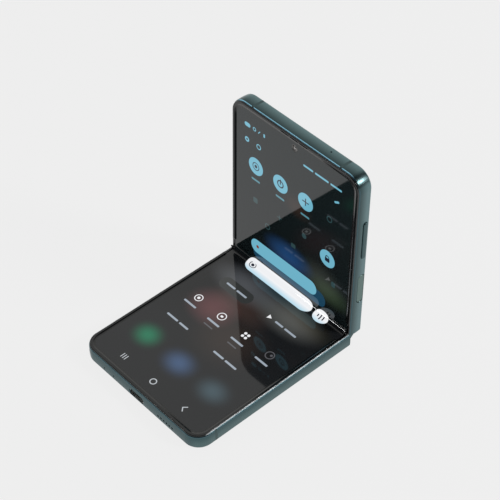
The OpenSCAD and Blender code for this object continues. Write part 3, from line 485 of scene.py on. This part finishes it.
def masked_board():
    """Solder mask over copper tracks, with bare pads"""
    f = Finish("masked_board", Coat_Weight=0.3, Coat_Roughness=0.2)
    where = f.vector("MULTIPLY", f.place(), (1 / (2.2 * MM), 1 / (2.2 * MM), 1 / (2.2 * MM)))
    cells = f.node("TexVoronoi", {"distance": "CHEBYCHEV", "feature": "F1"},
                   {"Vector": where, "Scale": 1.0}, "Distance")
    pads = cells.clear(0.16, 0.13)
    tracks = f.noise(0.9, 1, (5, 1, 1)).clear(0.5, 0.54)
    mask = f.mix(tracks, (0.008, 0.05, 0.03, 1), (0.014, 0.075, 0.045, 1))
    f.set(Base_Color=f.mix(pads, mask, (0.5, 0.38, 0.16, 1)), Metallic=pads)
    f.set(Roughness=f.noise(0.3) * 0.1 + 0.3)
    f.bumps(tracks.or_(pads), 0.02, 0.6)
    return f.material


def black_moulding():
    """Glass-filled black plastic"""
    f = Finish("black_moulding")
    grain = f.noise(0.12, 3)
    f.set(Base_Color=f.mix(grain, (0.012, 0.013, 0.014, 1), (0.024, 0.025, 0.027, 1)))
    f.set(Roughness=grain * 0.2 + 0.4)
    f.bumps(grain, 0.01, 0.5)
    return f.material


def brush_pile():
    """Short black fibres that keep dust out of the hinge"""
    f = Finish("brush_pile", Sheen_Weight=0.4)
    fibres = f.noise(0.05, 2, (1, 1, 8))
    f.set(Base_Color=f.mix(fibres, (0.006, 0.006, 0.007, 1), (0.03, 0.03, 0.032, 1)))
    f.set(Roughness=fibres * 0.1 + 0.8)
    f.bumps(fibres, 0.05)
    return f.material


def flex_film():
    """Amber film with copper tracks along the cable"""
    f = Finish("flex_film", Coat_Weight=0.5, Coat_Roughness=0.12)
    across = f.part(f.place()) / (0.5 * MM)
    tracks = across.math("PINGPONG", across, 0.5).clear(0.22, 0.26)
    f.set(Base_Color=f.mix(tracks, (0.13, 0.045, 0.008, 1), (0.32, 0.12, 0.025, 1)))
    f.set(Roughness=f.noise(0.5) * 0.1 + 0.3, Metallic=tracks * 0.5)
    f.bumps(tracks, 0.02, 0.5)
    return f.material


def flash_phosphor():
    """Yellow phosphor seen through a moulded lens"""
    f = Finish("flash_phosphor", Coat_Weight=0.6, Coat_Roughness=0.06)
    f.set(Base_Color=f.mix(f.noise(0.3), (0.72, 0.62, 0.3, 1), (0.82, 0.74, 0.45, 1)))
    f.set(Roughness=f.noise(0.2) * 0.1 + 0.25)
    return f.material


# ---------- the lit picture ----------
# All its places and sizes are in millimetres; this is how wide the soft edge of each shape is
EDGE_SOFT = 0.16


class Picture:
    """Shapes drawn in millimetres on one half's display: across from its middle, up from the fold."""

    def __init__(self, finish, up):
        self.f = finish
        uv = finish.node("UVMap", {"uv_map": "screen"}, {})
        size = (2 * HALF_W / MM, up * SHEET_LEN / MM, 0)
        self.at = finish.vector("MULTIPLY_ADD", uv, size, (-HALF_W / MM, 0, 0))
        self.light = BLACK

    def edge(self, distance):
        """1 inside a shape and 0 outside it"""
        return distance.math("MULTIPLY_ADD", distance, -1 / EDGE_SOFT, 0.5, clamp=True)

    def box(self, middle, size, r):
        """A rectangle with round corners"""
        core = (size[0] / 2 - r, size[1] / 2 - r, 0)
        off = self.f.vector("ABSOLUTE", self.f.vector("SUBTRACT", self.at, (*middle, 0)))
        out = self.f.vector("MAXIMUM", self.f.vector("SUBTRACT", off, core), (0, 0, 0))
        return self.edge(self.f.vector("LENGTH", out, output=1) - r)

    def far(self, middle):
        return self.f.vector("DISTANCE", self.at, (*middle, 0), output=1)

    def disc(self, middle, r):
        return self.edge(self.far(middle) - r)

    def ring(self, middle, r, width=0.45):
        return self.edge((self.far(middle) - r).size() - width / 2)

    def beyond(self, middle, normal):
        """1 on the side of a line that its normal points to"""
        offset = -(middle[0] * normal[0] + middle[1] * normal[1])
        along = self.f.vector("DOT_PRODUCT", self.at, (*normal, 0), output=1)
        return self.edge(-1 * (along + offset))

    def stroke(self, start, end, width=0.45):
        """A straight line with round ends"""
        run = (end[0] - start[0], end[1] - start[1], 0)
        length2 = run[0] ** 2 + run[1] ** 2
        reach = self.f.vector("SUBTRACT", self.at, (*start, 0))
        share = self.f.vector("DOT_PRODUCT", reach, run, output=1)
        share = share.math("MULTIPLY", share, 1 / length2, clamp=True)
        near = self.f.node("VectorMath", {"operation": "SCALE"}, {0: run, "Scale": share})
        return self.edge(self.f.vector("DISTANCE", reach, near, output=1) - width / 2)

    def words(self, left, height, lengths, tall=0.95, gap=1.0):
        """A line of plain bars in place of words: left end, middle height and each bar's length"""
        bars = []
        for length in lengths:
            bars.append(self.box((left + length / 2, height), (length, tall), tall * 0.45))
            left += length + gap
        return any_of(bars)

    def lay(self, mask, colour):
        """Lays a colour over the picture where the mask is 1"""
        self.light = self.f.mix(mask, self.light, colour)

    def glow(self, middle, size, colour, peak=2.0):
        """Adds a soft round light; a higher peak is brighter in its middle"""
        off = self.f.vector("SUBTRACT", self.at, (*middle, 0))
        off = self.f.vector("MULTIPLY", off, (1 / size[0], 1 / size[1], 0))
        far2 = self.f.vector("DOT_PRODUCT", off, off, output=1)
        strength = far2.math("MULTIPLY_ADD", far2, -1.0, 1.0, clamp=True) ** peak
        self.light = self.f.mix(strength, self.light, colour, "ADD")


def any_of(masks):
    masks = list(masks)
    mask = masks[0]
    for other in masks[1:]:
        mask = mask.or_(other)
    return mask


LIT_BLUE = (0.15, 0.43, 0.56, 1)
LIT_WHITE = (0.86, 0.87, 0.89, 1)
LIT_LABEL = (0.33, 0.38, 0.44, 1)
DIM_BLUE = (0.02, 0.05, 0.055, 1)
DIM_WHITE = (0.09, 0.09, 0.1, 1)
INK = (0.005, 0.006, 0.02, 1)

SLIDER = dict(middle=(-4.7, -1.3), size=(39.6, 8.6), r=4.25)
ROUND_KEY = (20.6, -1.3)


def draw_sliders(p):
    """The two pill-shaped sliders beside the fold and the round key at their end"""
    p.lay(p.box((-0.6, 8.2), (43.6, 8.2), 4.0), (0.006, 0.045, 0.09, 1))
    p.lay(p.box((-3.95, 11.1), (39.6, 7.3), 3.6), LIT_BLUE)
    p.lay(p.disc((-19.8, 11.1), 0.8), (0.2, 0.03, 0.01, 1))
    low = p.f.part(p.at, 1).clear(-1.8, -5.2)
    white = p.f.mix(low, LIT_WHITE, (0.5, 0.72, 0.84, 1))
    p.lay(p.box(**SLIDER), white)
    p.lay(p.disc(ROUND_KEY, 3.95), white)


def upper_display_picture():
    """Round switches with simple marks, over the sliders"""
    f = Finish("upper_display_picture")
    p = Picture(f, 1)
    p.glow((-1, 19), (17, 9), (0.006, 0.04, 0.13, 1))
    p.glow((23.5, 15), (15, 8), (0.012, 0.024, 0.008, 1))
    p.glow((18, 19), (15, 11), (0.022, 0.025, 0.02, 1))
    p.glow((3, 48), (10, 7), (0.02, 0.008, 0.004, 1))
    draw_sliders(p)
    switches = [(-21.5, 54), (-7, 54), (7.5, 54), (21, 33)]
    p.lay(any_of(p.disc(at, 4.2) for at in switches), LIT_BLUE)
    p.lay(p.words(5.5, 71.8, (5.5, 7.5, 6.2)), LIT_BLUE)
    p.lay(any_of(p.words(x, 46.8, (5,)) for x in (-24, -9.5, 5)), (0.08, 0.24, 0.3, 1))
    # small marks of the status line and the row under it
    p.lay(any_of([p.box((-26.7, 72.5), (3.4, 2), 1), p.ring((-22.6, 72.5), 0.75, 0.4),
                  p.stroke((-20.3, 71.9), (-19.4, 73), 0.4), p.box((-16.9, 72.5), (0.9, 1.7), 0.3),
                  p.disc((-26.9, 65), 1.25), p.ring((-20, 65), 1.1, 0.45),
                  p.stroke((23.6, 64.6), (25.2, 65.4), 1.0)]), LIT_BLUE)
    p.lay(p.disc((-26.9, 65), 0.5), BLACK)
    # marks on the round switches: a dial, a power mark, a cross and a padlock
    p.lay(any_of([p.ring((-21.5, 54), 1.8, 0.4), p.disc((-21.5, 54), 0.8),
                  p.ring((-7, 54), 1.6, 0.6), p.stroke((-7, 54), (-7, 56.1), 0.55),
                  p.stroke((5.9, 54), (9.1, 54), 0.55), p.stroke((7.5, 52.4), (7.5, 55.6), 0.55),
                  p.box((21, 32.4), (2.6, 2), 0.4), p.ring((21, 33.6), 0.9, 0.45)]), INK)
    # switches that are off
    off = [p.ring((21, 54), 1.3, 0.5), p.box((-21.5, 36), (2.6, 2.8), 0.6),
           p.stroke((-8.1, 36), (-5.9, 36), 0.5), p.stroke((-7, 34.9), (-7, 37.1), 0.5),
           p.disc((7.5, 36), 1.3), p.ring((-14, 26.5), 1.3, 0.5), p.box((1.5, 26.5), (2.6, 2.2), 0.5),
           p.box((25, 21.5), (2.2, 2.8), 0.8)]
    p.lay(any_of(off), DIM_BLUE)
    f.set(Base_Color=(0.016, 0.026, 0.028, 1), Emission_Color=p.light, Emission_Strength=1.0, IOR=1.5)
    f.set(Roughness=f.noise(12, 3) * 0.02 + 0.03)
    return f.material


def lower_display_picture():
    """Rows of bars with marks over them, soft lights, a painted reflection near the fold and the marks at the
    lower end
    """
    f = Finish("lower_display_picture")
    p = Picture(f, -1)
    p.glow((-20.4, -60.4), (11, 9.8), (0.0, 0.15, 0.068, 1), 4.0)
    p.glow((0, -61), (12.8, 10.2), (0.035, 0.075, 0.16, 1), 4.0)
    p.glow((20.4, -60.9), (12.6, 10), (0.036, 0.066, 0.082, 1), 4.0)
    p.glow((-14, -31), (15, 12), (0.09, 0.03, 0.032, 1))
    p.glow((4, -38), (22, 18), (0.018, 0.01, 0.006, 1))
    # Painted reflection: the grey glows 13 mm from the fold and the faint brown ones round them stand in for
    # the haze and the things the glass mirrors there
    p.glow((17, -10), (20, 8), (0.012, 0.008, 0.0, 1))
    p.glow((-14, -13), (22, 10.5), (0.066, 0.07, 0.077, 1))
    p.glow((12, -13), (22, 10.5), (0.073, 0.076, 0.072, 1))
    p.glow((-6, -22), (20, 9), (0.032, 0.018, 0.014, 1))
    draw_sliders(p)
    p.lay(p.box((-14.6, -17.3), (18.4, 6.6), 3.2), (0.028, 0.03, 0.029, 1))
    # label bars
    columns = (-22, -7.4, 7.2, 21.8)
    p.lay(any_of([p.words(-20.6, -17.2, (5.2, 6)), p.words(9.6, -17.4, (4.6, 6.6)),
                  *(p.words(x - 3.6, -36.4, (7.2,)) for x in columns), p.words(-24.4, -46.6, (6.6, 5.4)),
                  p.words(4.6, -46.6, (6, 6.6))]), LIT_LABEL)
    p.lay(any_of([p.words(x - 2.6, -39.2, (5.2,), 0.6) for x in columns[1:3]]), DIM_WHITE)
    # marks over the labels
    play = any_of([p.beyond((5.4, -17.4), (-1, 0)), p.beyond((7.4, -17.4), (0.5, 0.866)),
                   p.beyond((7.4, -17.4), (0.5, -0.866))])
    grid = [p.disc((columns[2] + x, -31.6 + y), 0.68) for x in (-0.9, 0.9) for y in (-0.9, 0.9)]
    p.lay(any_of([1 - play, p.ring((columns[0], -31.6), 1.75, 0.4), p.disc((columns[0], -31.6), 0.7),
                  p.ring((columns[1], -31.6), 1.9, 0.4), p.box((columns[1], -31.6), (1.3, 1), 0.3),
                  *grid]), LIT_WHITE)
    p.lay(any_of([p.ring((columns[3], -31.6), 1.9, 0.45), p.disc((columns[3] + 0.6, -31.3), 0.6)]), DIM_WHITE)
    # marks of the bar at the lower end
    bars = [p.stroke((-17.7 + x, -75.8), (-17.7 + x, -73.6), 0.36) for x in (-1.1, 0, 1.1)]
    p.lay(any_of([*bars, p.ring((0.5, -74.7), 1.35, 0.42), p.stroke((19.9, -73.3), (18.6, -74.7), 0.42),
                  p.stroke((18.6, -74.7), (19.9, -76.1), 0.42)]), (0.5, 0.53, 0.56, 1))
    # dark marks on the sliders: a dial at the left end and three level bars on the round key
    x, y = ROUND_KEY
    levels = [p.stroke((x + step, y - tall), (x + step, y + tall), 0.6)
              for step, tall in ((-1.5, 0.5), (0, 1.6), (1.5, 1.0))]
    p.lay(any_of([p.ring((-20.9, -1.4), 1.7, 0.4), p.disc((-20.9, -1.4), 0.85), *levels]), INK)
    f.set(Base_Color=(0.024, 0.026, 0.029, 1), Emission_Color=p.light, Emission_Strength=1.0)
    f.set(Roughness=f.noise(12, 3) * 0.02 + 0.03, Specular_IOR_Level=0.46)
    return f.material


# ---------- the folding display ----------
# The bend is a curve from each half to the sunken fold line; a pull is how long its handles are
BEND_STEPS = 24
BEND_PULL = (2.4 * MM, 1.4 * MM)
FOLD_SINK = 0.3 * MM
SHEET_T = 0.5 * MM
SCREEN_CORNER_R = 5.25 * MM


def half_point(u, z=0):
    """A half's point in the spine's space, by its distance from the fold and height over the display"""
    y, z = SHAFT_Y - u, SHAFT_DEPTH + z
    turn = Matrix.Rotation(-HALF_FOLD, 2)
    return turn @ Vector((y, z)) - Vector((SHAFT_Y, SHAFT_DEPTH))


def bend_stations():
    """Points along the bend in the spine's space, and how far each is from the fold line when flat"""
    points = interpolate_bezier(half_point(BEND_LEN), half_point(BEND_LEN - BEND_PULL[0]),
                                Vector((-BEND_PULL[1], -FOLD_SINK)), Vector((0, -FOLD_SINK)), BEND_STEPS + 1)
    reach = [0.0]
    for point, after in zip(points, points[1:]):
        reach.append(reach[-1] + (after - point).length)
    return [(point, BEND_LEN * (1 - far / reach[-1])) for point, far in zip(points, reach)]


def display_sheet(name, half, side, hole=None):
    """One half of the folding display, from the fold line to its round outer corners"""
    sheet = flat_plate(name, HALF_W, 0, SHEET_LEN)
    take_up(sheet)
    pick(sheet, "verts", lambda v: v.co.y > SHEET_LEN / 2)
    bpy.ops.mesh.bevel(offset=SCREEN_CORNER_R, segments=20, affect="VERTICES")
    stations = bend_stations()
    for place in [BEND_LEN + 1 * MM] + [flat for bent, flat in stations[:-1]]:
        cut_across(place)
    put_down()
    if hole:
        cut_round_hole(sheet, *hole)
    layer = sheet.data.uv_layers.new(name="screen")
    for loop in sheet.data.loops:
        at = sheet.data.vertices[loop.vertex_index].co
        layer.data[loop.index].uv = (at.x / (2 * HALF_W) + 0.5, at.y / SHEET_LEN)
    for vertex in sheet.data.vertices:
        x, u, z = vertex.co
        bent, flat = min(stations, key=lambda station: abs(station[1] - u))
        if abs(flat - u) < 0.01 * MM:
            vertex.co = SPINE @ Vector((x, side * bent.x, bent.y))
        else:
            vertex.co = half @ Vector((x, u, 0))
    if side > 0:
        sheet.data.flip_normals()
    finish_with(sheet, "SOLIDIFY", thickness=SHEET_T, offset=-1, use_even_offset=True)
    smooth(sheet)
    return sheet


# ---------- the flat cable through the spine ----------
# It leaves a half's middle plate at this distance from the fold and hangs down to the spine's floor
FLEX_SIDES = (-9 * MM, 5 * MM)
FLEX_LEVEL = -1.7 * MM
FLEX_END = 12 * MM
FLEX_LEAVES = 6.3 * MM
FLEX_PULL = (3.5 * MM, 2.2 * MM)
FLEX_FLOOR = -4.9 * MM
FLEX_T = 0.2 * MM
FLEX_STEPS = 16


def flex_points():
    """The cable's middle line from a half to the spine's middle, in the spine's space"""
    curve = interpolate_bezier(half_point(FLEX_LEAVES, FLEX_LEVEL),
                               half_point(FLEX_LEAVES - FLEX_PULL[0], FLEX_LEVEL),
                               Vector((-FLEX_PULL[1], FLEX_FLOOR)), Vector((0, FLEX_FLOOR)), FLEX_STEPS + 1)
    return [half_point(FLEX_END, FLEX_LEVEL), *curve]


def flex_half(name, side):
    """Half of the cable: one end lies under a half's middle plate, the other hangs in the spine"""
    points = flex_points()
    put_down()
    bpy.ops.mesh.primitive_grid_add(x_subdivisions=2, y_subdivisions=len(points) - 1, size=1)
    flex = bpy.context.object
    flex.name = name
    for vertex in flex.data.vertices:
        point = points[round((vertex.co.y + 0.5) * (len(points) - 1))]
        x = FLEX_SIDES[0] + (vertex.co.x + 0.5) * (FLEX_SIDES[1] - FLEX_SIDES[0])
        vertex.co = SPINE @ Vector((x, side * point.x, point.y))
    finish_with(flex, "SOLIDIFY", thickness=FLEX_T, offset=0, use_even_offset=True)
    close_seams(flex)
    smooth(flex, 40)
    return flex


# ---------- the rims and the lenses ----------
BODY_HALF_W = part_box("lower_frame")[1].x
BODY_END = FOLD_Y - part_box("lower_frame")[0].y
BODY_CORNER_R = 7.2 * MM
# How far in from the body's side and how high over the display each edge of the rim lies
RIM_EDGES = ((0.5, 0.1), (0.55, 0.2), (0.66, 0.27), (0.84, 0.3), (1.6, 0.3), (1.8, 0.27), (2.0, 0.17),
             (2.2, 0.02), (2.9, 0.006))
RIM_HIGH = 0.3 * MM
# The same for the foot in the groove, and how high the skirt's underside lies
RIM_FOOT = (1.88, -0.5)
SKIRT_UNDER = 0.002
# Beside the bend the rim is this low and starts this far out; it rises and widens over RIM_RISE
RIM_START = 1 * MM
RIM_LOW = 0.05 * MM
RIM_NARROW = 34.52 * MM
RIM_WIDE = 33 * MM
RIM_RISE = 1.3 * MM


def display_rim(name, half):
    """The rim round one half of the display: it sinks and narrows beside the bend"""
    inset, height = RIM_EDGES[0]
    foot_in, foot_z = RIM_FOOT
    rim = flat_plate(name, BODY_HALF_W - inset * MM, -10 * MM, BODY_END - inset * MM, foot_z * MM)
    take_up(rim)
    pick(rim, "verts", lambda v: v.co.y > 0)
    bpy.ops.mesh.bevel(offset=BODY_CORNER_R - inset * MM, segments=20, affect="VERTICES")
    bpy.ops.mesh.select_mode(type="FACE")
    bpy.ops.mesh.select_all(action="SELECT")
    bpy.ops.mesh.extrude_region_move(TRANSFORM_OT_translate={"value": (0, 0, (height - foot_z) * MM)})
    for (near, low), (further, high) in zip(RIM_EDGES, RIM_EDGES[1:]):
        bpy.ops.mesh.inset(thickness=(further - near) * MM, depth=0)
        bpy.ops.transform.translate(value=(0, 0, (high - low) * MM))
    # the foot stands in the groove, and the skirt over it reaches in over the display's edge
    bpy.ops.mesh.select_all(action="DESELECT")
    pick(rim, "faces", lambda f: len(f.verts) > 8 and f.calc_center_median().z < -0.1 * MM)
    bpy.ops.mesh.inset(thickness=(foot_in - inset) * MM, depth=0)
    bpy.ops.mesh.extrude_region_move(TRANSFORM_OT_translate={"value": (0, 0, (SKIRT_UNDER - foot_z) * MM)})
    bpy.ops.mesh.select_all(action="DESELECT")
    pick(rim, "faces", lambda f: len(f.verts) > 8)
    bpy.ops.mesh.bridge_edge_loops()
    cut_across(RIM_START, clear_inner=True, use_fill=True)
    for share in (0, 0.5, 1):
        cut_across(BEND_LEN + share * RIM_RISE)
    put_down()
    for vertex in rim.data.vertices:
        share = min(1, max(0, (vertex.co.y - BEND_LEN) / RIM_RISE))
        vertex.co.z = min(vertex.co.z, RIM_LOW + share * (RIM_HIGH - RIM_LOW))
        narrow = RIM_NARROW + share * (RIM_WIDE - RIM_NARROW)
        if vertex.co.y < BEND_LEN + RIM_RISE + 0.1 * MM:
            vertex.co.x = math.copysign(max(abs(vertex.co.x), narrow), vertex.co.x)
    close_seams(rim)
    return rim


SLITS_IN = 1.45 * MM
SLIT_SIZE = (4.6 * MM, 0.5 * MM, 2 * MM)


def cut_sound_slits(rim, places):
    """Cuts the earpiece's round-ended slits at places across the rim"""
    for x in places:
        put_down()
        bpy.ops.mesh.primitive_cube_add(size=1, location=(x, BODY_END - SLITS_IN, 0.2 * MM))
        drill = bpy.context.object
        drill.scale = SLIT_SIZE
        bpy.ops.object.transform_apply(location=True, rotation=True, scale=True)
        take_up(drill, "EDGE")
        pick(drill, "edges", lambda e: abs(e.verts[0].co.z - e.verts[1].co.z) > 1 * MM)
        bpy.ops.mesh.bevel(offset=0.24 * MM, segments=6)
        cut_away(rim, drill)


def cut_round_hole(sheet, x, u, r):
    """Cuts a round hole in a flat sheet"""
    put_down()
    bpy.ops.mesh.primitive_cylinder_add(vertices=48, radius=r, depth=4 * MM, location=(x, u, 0))
    cut_away(sheet, bpy.context.object)


def cut_away(piece, drill):
    finish_with(piece, "BOOLEAN", object=drill, operation="DIFFERENCE", solver="EXACT")
    bpy.data.objects.remove(drill)


def spun_piece(name, profile):
    """A round piece spun from radii and heights in millimetres about its middle line"""
    put_down()
    bpy.ops.mesh.primitive_plane_add(size=1 * MM)
    piece = bpy.context.object
    piece.name = name
    take_up(piece)
    bpy.ops.mesh.select_all(action="SELECT")
    bpy.ops.mesh.merge(type="CENTER")
    places = [Vector((r * MM, 0, z * MM)) for r, z in profile]
    bpy.ops.transform.translate(value=places[0])
    for place, after in zip(places, places[1:]):
        bpy.ops.mesh.extrude_vertices_move(TRANSFORM_OT_translate={"value": after - place})
    bpy.ops.mesh.select_all(action="SELECT")
    bpy.ops.mesh.spin(steps=64, angle=2 * math.pi, center=(0, 0, 0), axis=(0, 0, 1))
    close_seams(piece, 0.002 * MM)
    smooth(piece)
    return piece


def joined(pieces):
    put_down()
    for piece in pieces:
        piece.select_set(True)
    bpy.context.view_layer.objects.active = pieces[0]
    bpy.ops.object.join()
    return pieces[0]


def copy_at(piece, x, u):
    """A copy of a piece with its own mesh, moved across and up"""
    twin = piece.copy()
    twin.data = piece.data.copy()
    bpy.context.scene.collection.objects.link(twin)
    twin.data.transform(Matrix.Translation((x * MM, u * MM, 0)))
    return twin


# ---------- dressing ----------
FINISHES = {
    "frame_enamel": anodised_frame, "antenna_band": antenna_filling, "key_finish": key_coat,
    "back_glass": satin_glass, "black_glass": clear_black_glass, "cover_panel": resting_cover_panel,
    "rim_elastomer": soft_rim, "stainless": brushed_steel, "hinge_steel": machined_steel,
    "gear_steel": sintered_gear, "screw_steel": plated_screw, "battery_foil": battery_wrap,
    "coil_copper": enamelled_copper, "board_laminate": masked_board, "black_moulding": black_moulding,
    "brush_pile": brush_pile, "flex_film": flex_film, "flash_lens": flash_phosphor,
    "display": clear_black_glass,
}
made = {maker: maker() for maker in dict.fromkeys(FINISHES.values())}
for node in frame["nodes"].values():
    for held in node.material_slots:
        held.material = made[FINISHES[held.material.name]]
# Each half's side, its body, its own space and the way it turns from the spine
HALVES = (("lower", "lower_half", LOWER, 1), ("upper", "upper_half", UPPER, -1))
for side, body, half, way in HALVES:
    slot = frame["nodes"][side + "_frame"].material_slots[0]
    slot.material = anodised_frame(side + "_anodised_frame", half)


def add_piece(piece, finish, body=None):
    piece.data.materials.clear()
    piece.data.materials.append(finish)
    if body:
        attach(piece, body)


# The front camera in its hole: its middle in the upper half's space and the hole's radius
FRONT_CAMERA = (0.3 * MM, 76.84 * MM)
FRONT_HOLE_R = 1.75 * MM
lower_sheet = display_sheet("lower_display_sheet", LOWER, 1)
add_piece(lower_sheet, lower_display_picture())
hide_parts("lower_display", "display_fold")
upper_sheet = display_sheet("upper_display_sheet", UPPER, -1, (*FRONT_CAMERA, FRONT_HOLE_R))
add_piece(upper_sheet, upper_display_picture())
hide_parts("upper_display")
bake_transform(lower_sheet)
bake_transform(upper_sheet)

# The colour of the painted highlight on each rim's outer lip, and where its dull skirt lies across, in
# millimetres
RIM_LOOKS = {"lower": ((0.75, 0.78, 0.8, 1), (34.25, 33.95)),
             "upper": ((0.03, 0.034, 0.036, 1), (34.25, 33.05))}
for side, body, half, way in HALVES:
    rim = display_rim(side + "_rim", half)
    if side == "upper":
        cut_sound_slits(rim, (-5.2 * MM, 0.1 * MM, 5.4 * MM))
    smooth(rim, 40)
    set_in_place(rim, half)
    add_piece(rim, soft_rim(half, *RIM_LOOKS[side]), body)
    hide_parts(side + "_display_rim")

for side, body, half, way in HALVES:
    flex = flex_half(side + "_hinge_flex", way)
    add_piece(flex, made[flex_film])
    if side == "lower":
        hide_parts("hinge_flex")
    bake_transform(flex)

# The front camera: a lens in a deep well, a printed ring and the barrel under it
FRONT_PROFILE = ((0, -0.08), (0.2, -0.1), (0.36, -0.16), (0.46, -0.26), (0.48, -0.5), (0.9, -0.44),
                 (1.25, -0.28), (1.4, -0.06), (1.6, -0.04), (1.71, -0.08), (1.71, -1.6), (2.6, -1.62),
                 (2.78, -1.8), (2.78, -4.7), (2.6, -4.88), (1.2, -4.9), (1.2, -4.6), (0, -4.6))
FRONT_TONES = ((0.0, (0.2, 0.19, 0.18, 1)), (0.06, (0.75, 0.75, 0.74, 1)), (0.11, (0.12, 0.105, 0.09, 1)),
               (0.2, (0.09, 0.08, 0.07, 1)), (0.26, (0.03, 0.03, 0.03, 1)), (0.3, (0.01, 0.01, 0.01, 1)))
front_lens = spun_piece("front_lens", FRONT_PROFILE)
front_lens.data.transform(Matrix.Translation((*FRONT_CAMERA, 0)))
set_in_place(front_lens, UPPER)
middle = UPPER @ Vector((*FRONT_CAMERA, -0.3 * MM))
add_piece(front_lens, coated_lens("front_lens_glass", [middle], FRONT_TONES, (0.42, 0.56)),
          "upper_half")
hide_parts("front_camera")

# The rear cameras' windows: a flat glass with a printed ring and a domed lens in a stepped well
REAR_CAMERAS = ((24.2, 71), (8.8, 71))
REAR_PROFILE = ((0, -7.46), (0.8, -7.45), (1.5, -7.41), (2.1, -7.34), (2.5, -7.26), (2.6, -7.25),
                (2.75, -7.25), (2.75, -7.36), (3.2, -7.36), (3.2, -7.48), (3.7, -7.48), (3.78, -7.58),
                (5.1, -7.58), (5.24, -7.55), (5.24, -7.21), (0, -7.21))
REAR_TONES = ((0.0, (0.02, 0.012, 0.05, 1)), (0.2, (0.01, 0.03, 0.06, 1)), (0.34, (0.006, 0.012, 0.02, 1)),
              (0.43, (0.004, 0.004, 0.005, 1)), (0.46, (0.03, 0.031, 0.033, 1)),
              (0.62, (0.006, 0.006, 0.007, 1)))
window = spun_piece("rear_window", REAR_PROFILE)
rear_windows = joined([copy_at(window, *at) for at in REAR_CAMERAS])
bpy.data.objects.remove(window)
rear_windows.name = "rear_windows"
set_in_place(rear_windows, UPPER)
middles = [UPPER @ Vector((x * MM, u * MM, -7.4 * MM)) for x, u in REAR_CAMERAS]
add_piece(rear_windows, coated_lens("rear_window_glass", middles, REAR_TONES), "upper_half")
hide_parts("camera_windows")

# ---------- table, light and camera ----------
put_down()
bpy.ops.mesh.primitive_plane_add(size=8, location=(0, 0, 0))
table = bpy.context.object
table.name = "table"
# The table glows a little, so that the phone's shadow on it stays faint
TABLE_GLOW = 0.826
pale = Finish("pale_table", Roughness=0.9, Specular_IOR_Level=0.0, Base_Color=(0.06, 0.06, 0.06, 1),
              Emission_Color=(1, 1, 1, 1), Emission_Strength=TABLE_GLOW)
table.data.materials.append(pale.material)

scene = bpy.context.scene
scene.view_settings.view_transform = "Standard"

# The studio is white behind the phone and near the floor, and dark above the camera's side
BRIGHT, DARK = (0.85, 0.85, 0.83, 1), (0.03, 0.03, 0.035, 1)
studio = Finish("studio", "worlds", "Background")
towards = studio.node("TexCoord", {}, {}, "Generated")
behind = studio.part(towards, 1).clear(-0.5, 0.15, "SMOOTHSTEP")
left = studio.part(towards).clear(0.3, -0.2, "SMOOTHSTEP")
low = studio.part(towards, 2).clear(0.12, 0.0, "SMOOTHSTEP")
studio.set(Color=studio.mix((behind * left).or_(low), DARK, BRIGHT))
scene.world = studio.material


def soft_box(name, towards, far, size, power):
    """A lamp of this width and height that hangs in a direction from the phone and looks at it"""
    lamp = bpy.data.lights.new(name, "AREA")
    lamp.shape, lamp.size, lamp.size_y, lamp.energy = "RECTANGLE", *size, power
    holder = bpy.data.objects.new(name, lamp)
    scene.collection.objects.link(holder)
    middle = (cad_box[0] + cad_box[1]) / 2
    holder.location = middle + Vector(towards).normalized() * far
    holder.rotation_euler = (holder.location - middle).to_track_quat("Z", "Y").to_euler()


soft_box("corner_light", (0.7, 0.468, 0.54), 1.2, (0.24, 0.24), 5.5)
soft_box("crease_light", (-0.49, -0.80, 0.365), 1.2, (0.09, 0.035), 0.5)

CAMERA_PLACE = (0.3311, -0.2672, 0.4727)
CAMERA_AZIMUTH = math.radians(49.11)
CAMERA_ELEVATION = math.radians(44.39)
CAMERA_ROLL = math.radians(-1.54)
camera_data = bpy.data.cameras.new("camera")
camera_data.sensor_width = 36
camera_data.lens = 111.63
camera_data.clip_start = 0.01
camera = bpy.data.objects.new("camera", camera_data)
scene.collection.objects.link(camera)
camera.matrix_world = (
    Matrix.Translation(CAMERA_PLACE)
    @ Matrix.Rotation(CAMERA_AZIMUTH, 4, "Z")
    @ Matrix.Rotation(math.pi / 2 - CAMERA_ELEVATION, 4, "X")
    @ Matrix.Rotation(CAMERA_ROLL, 4, "Z")
)
scene.camera = camera
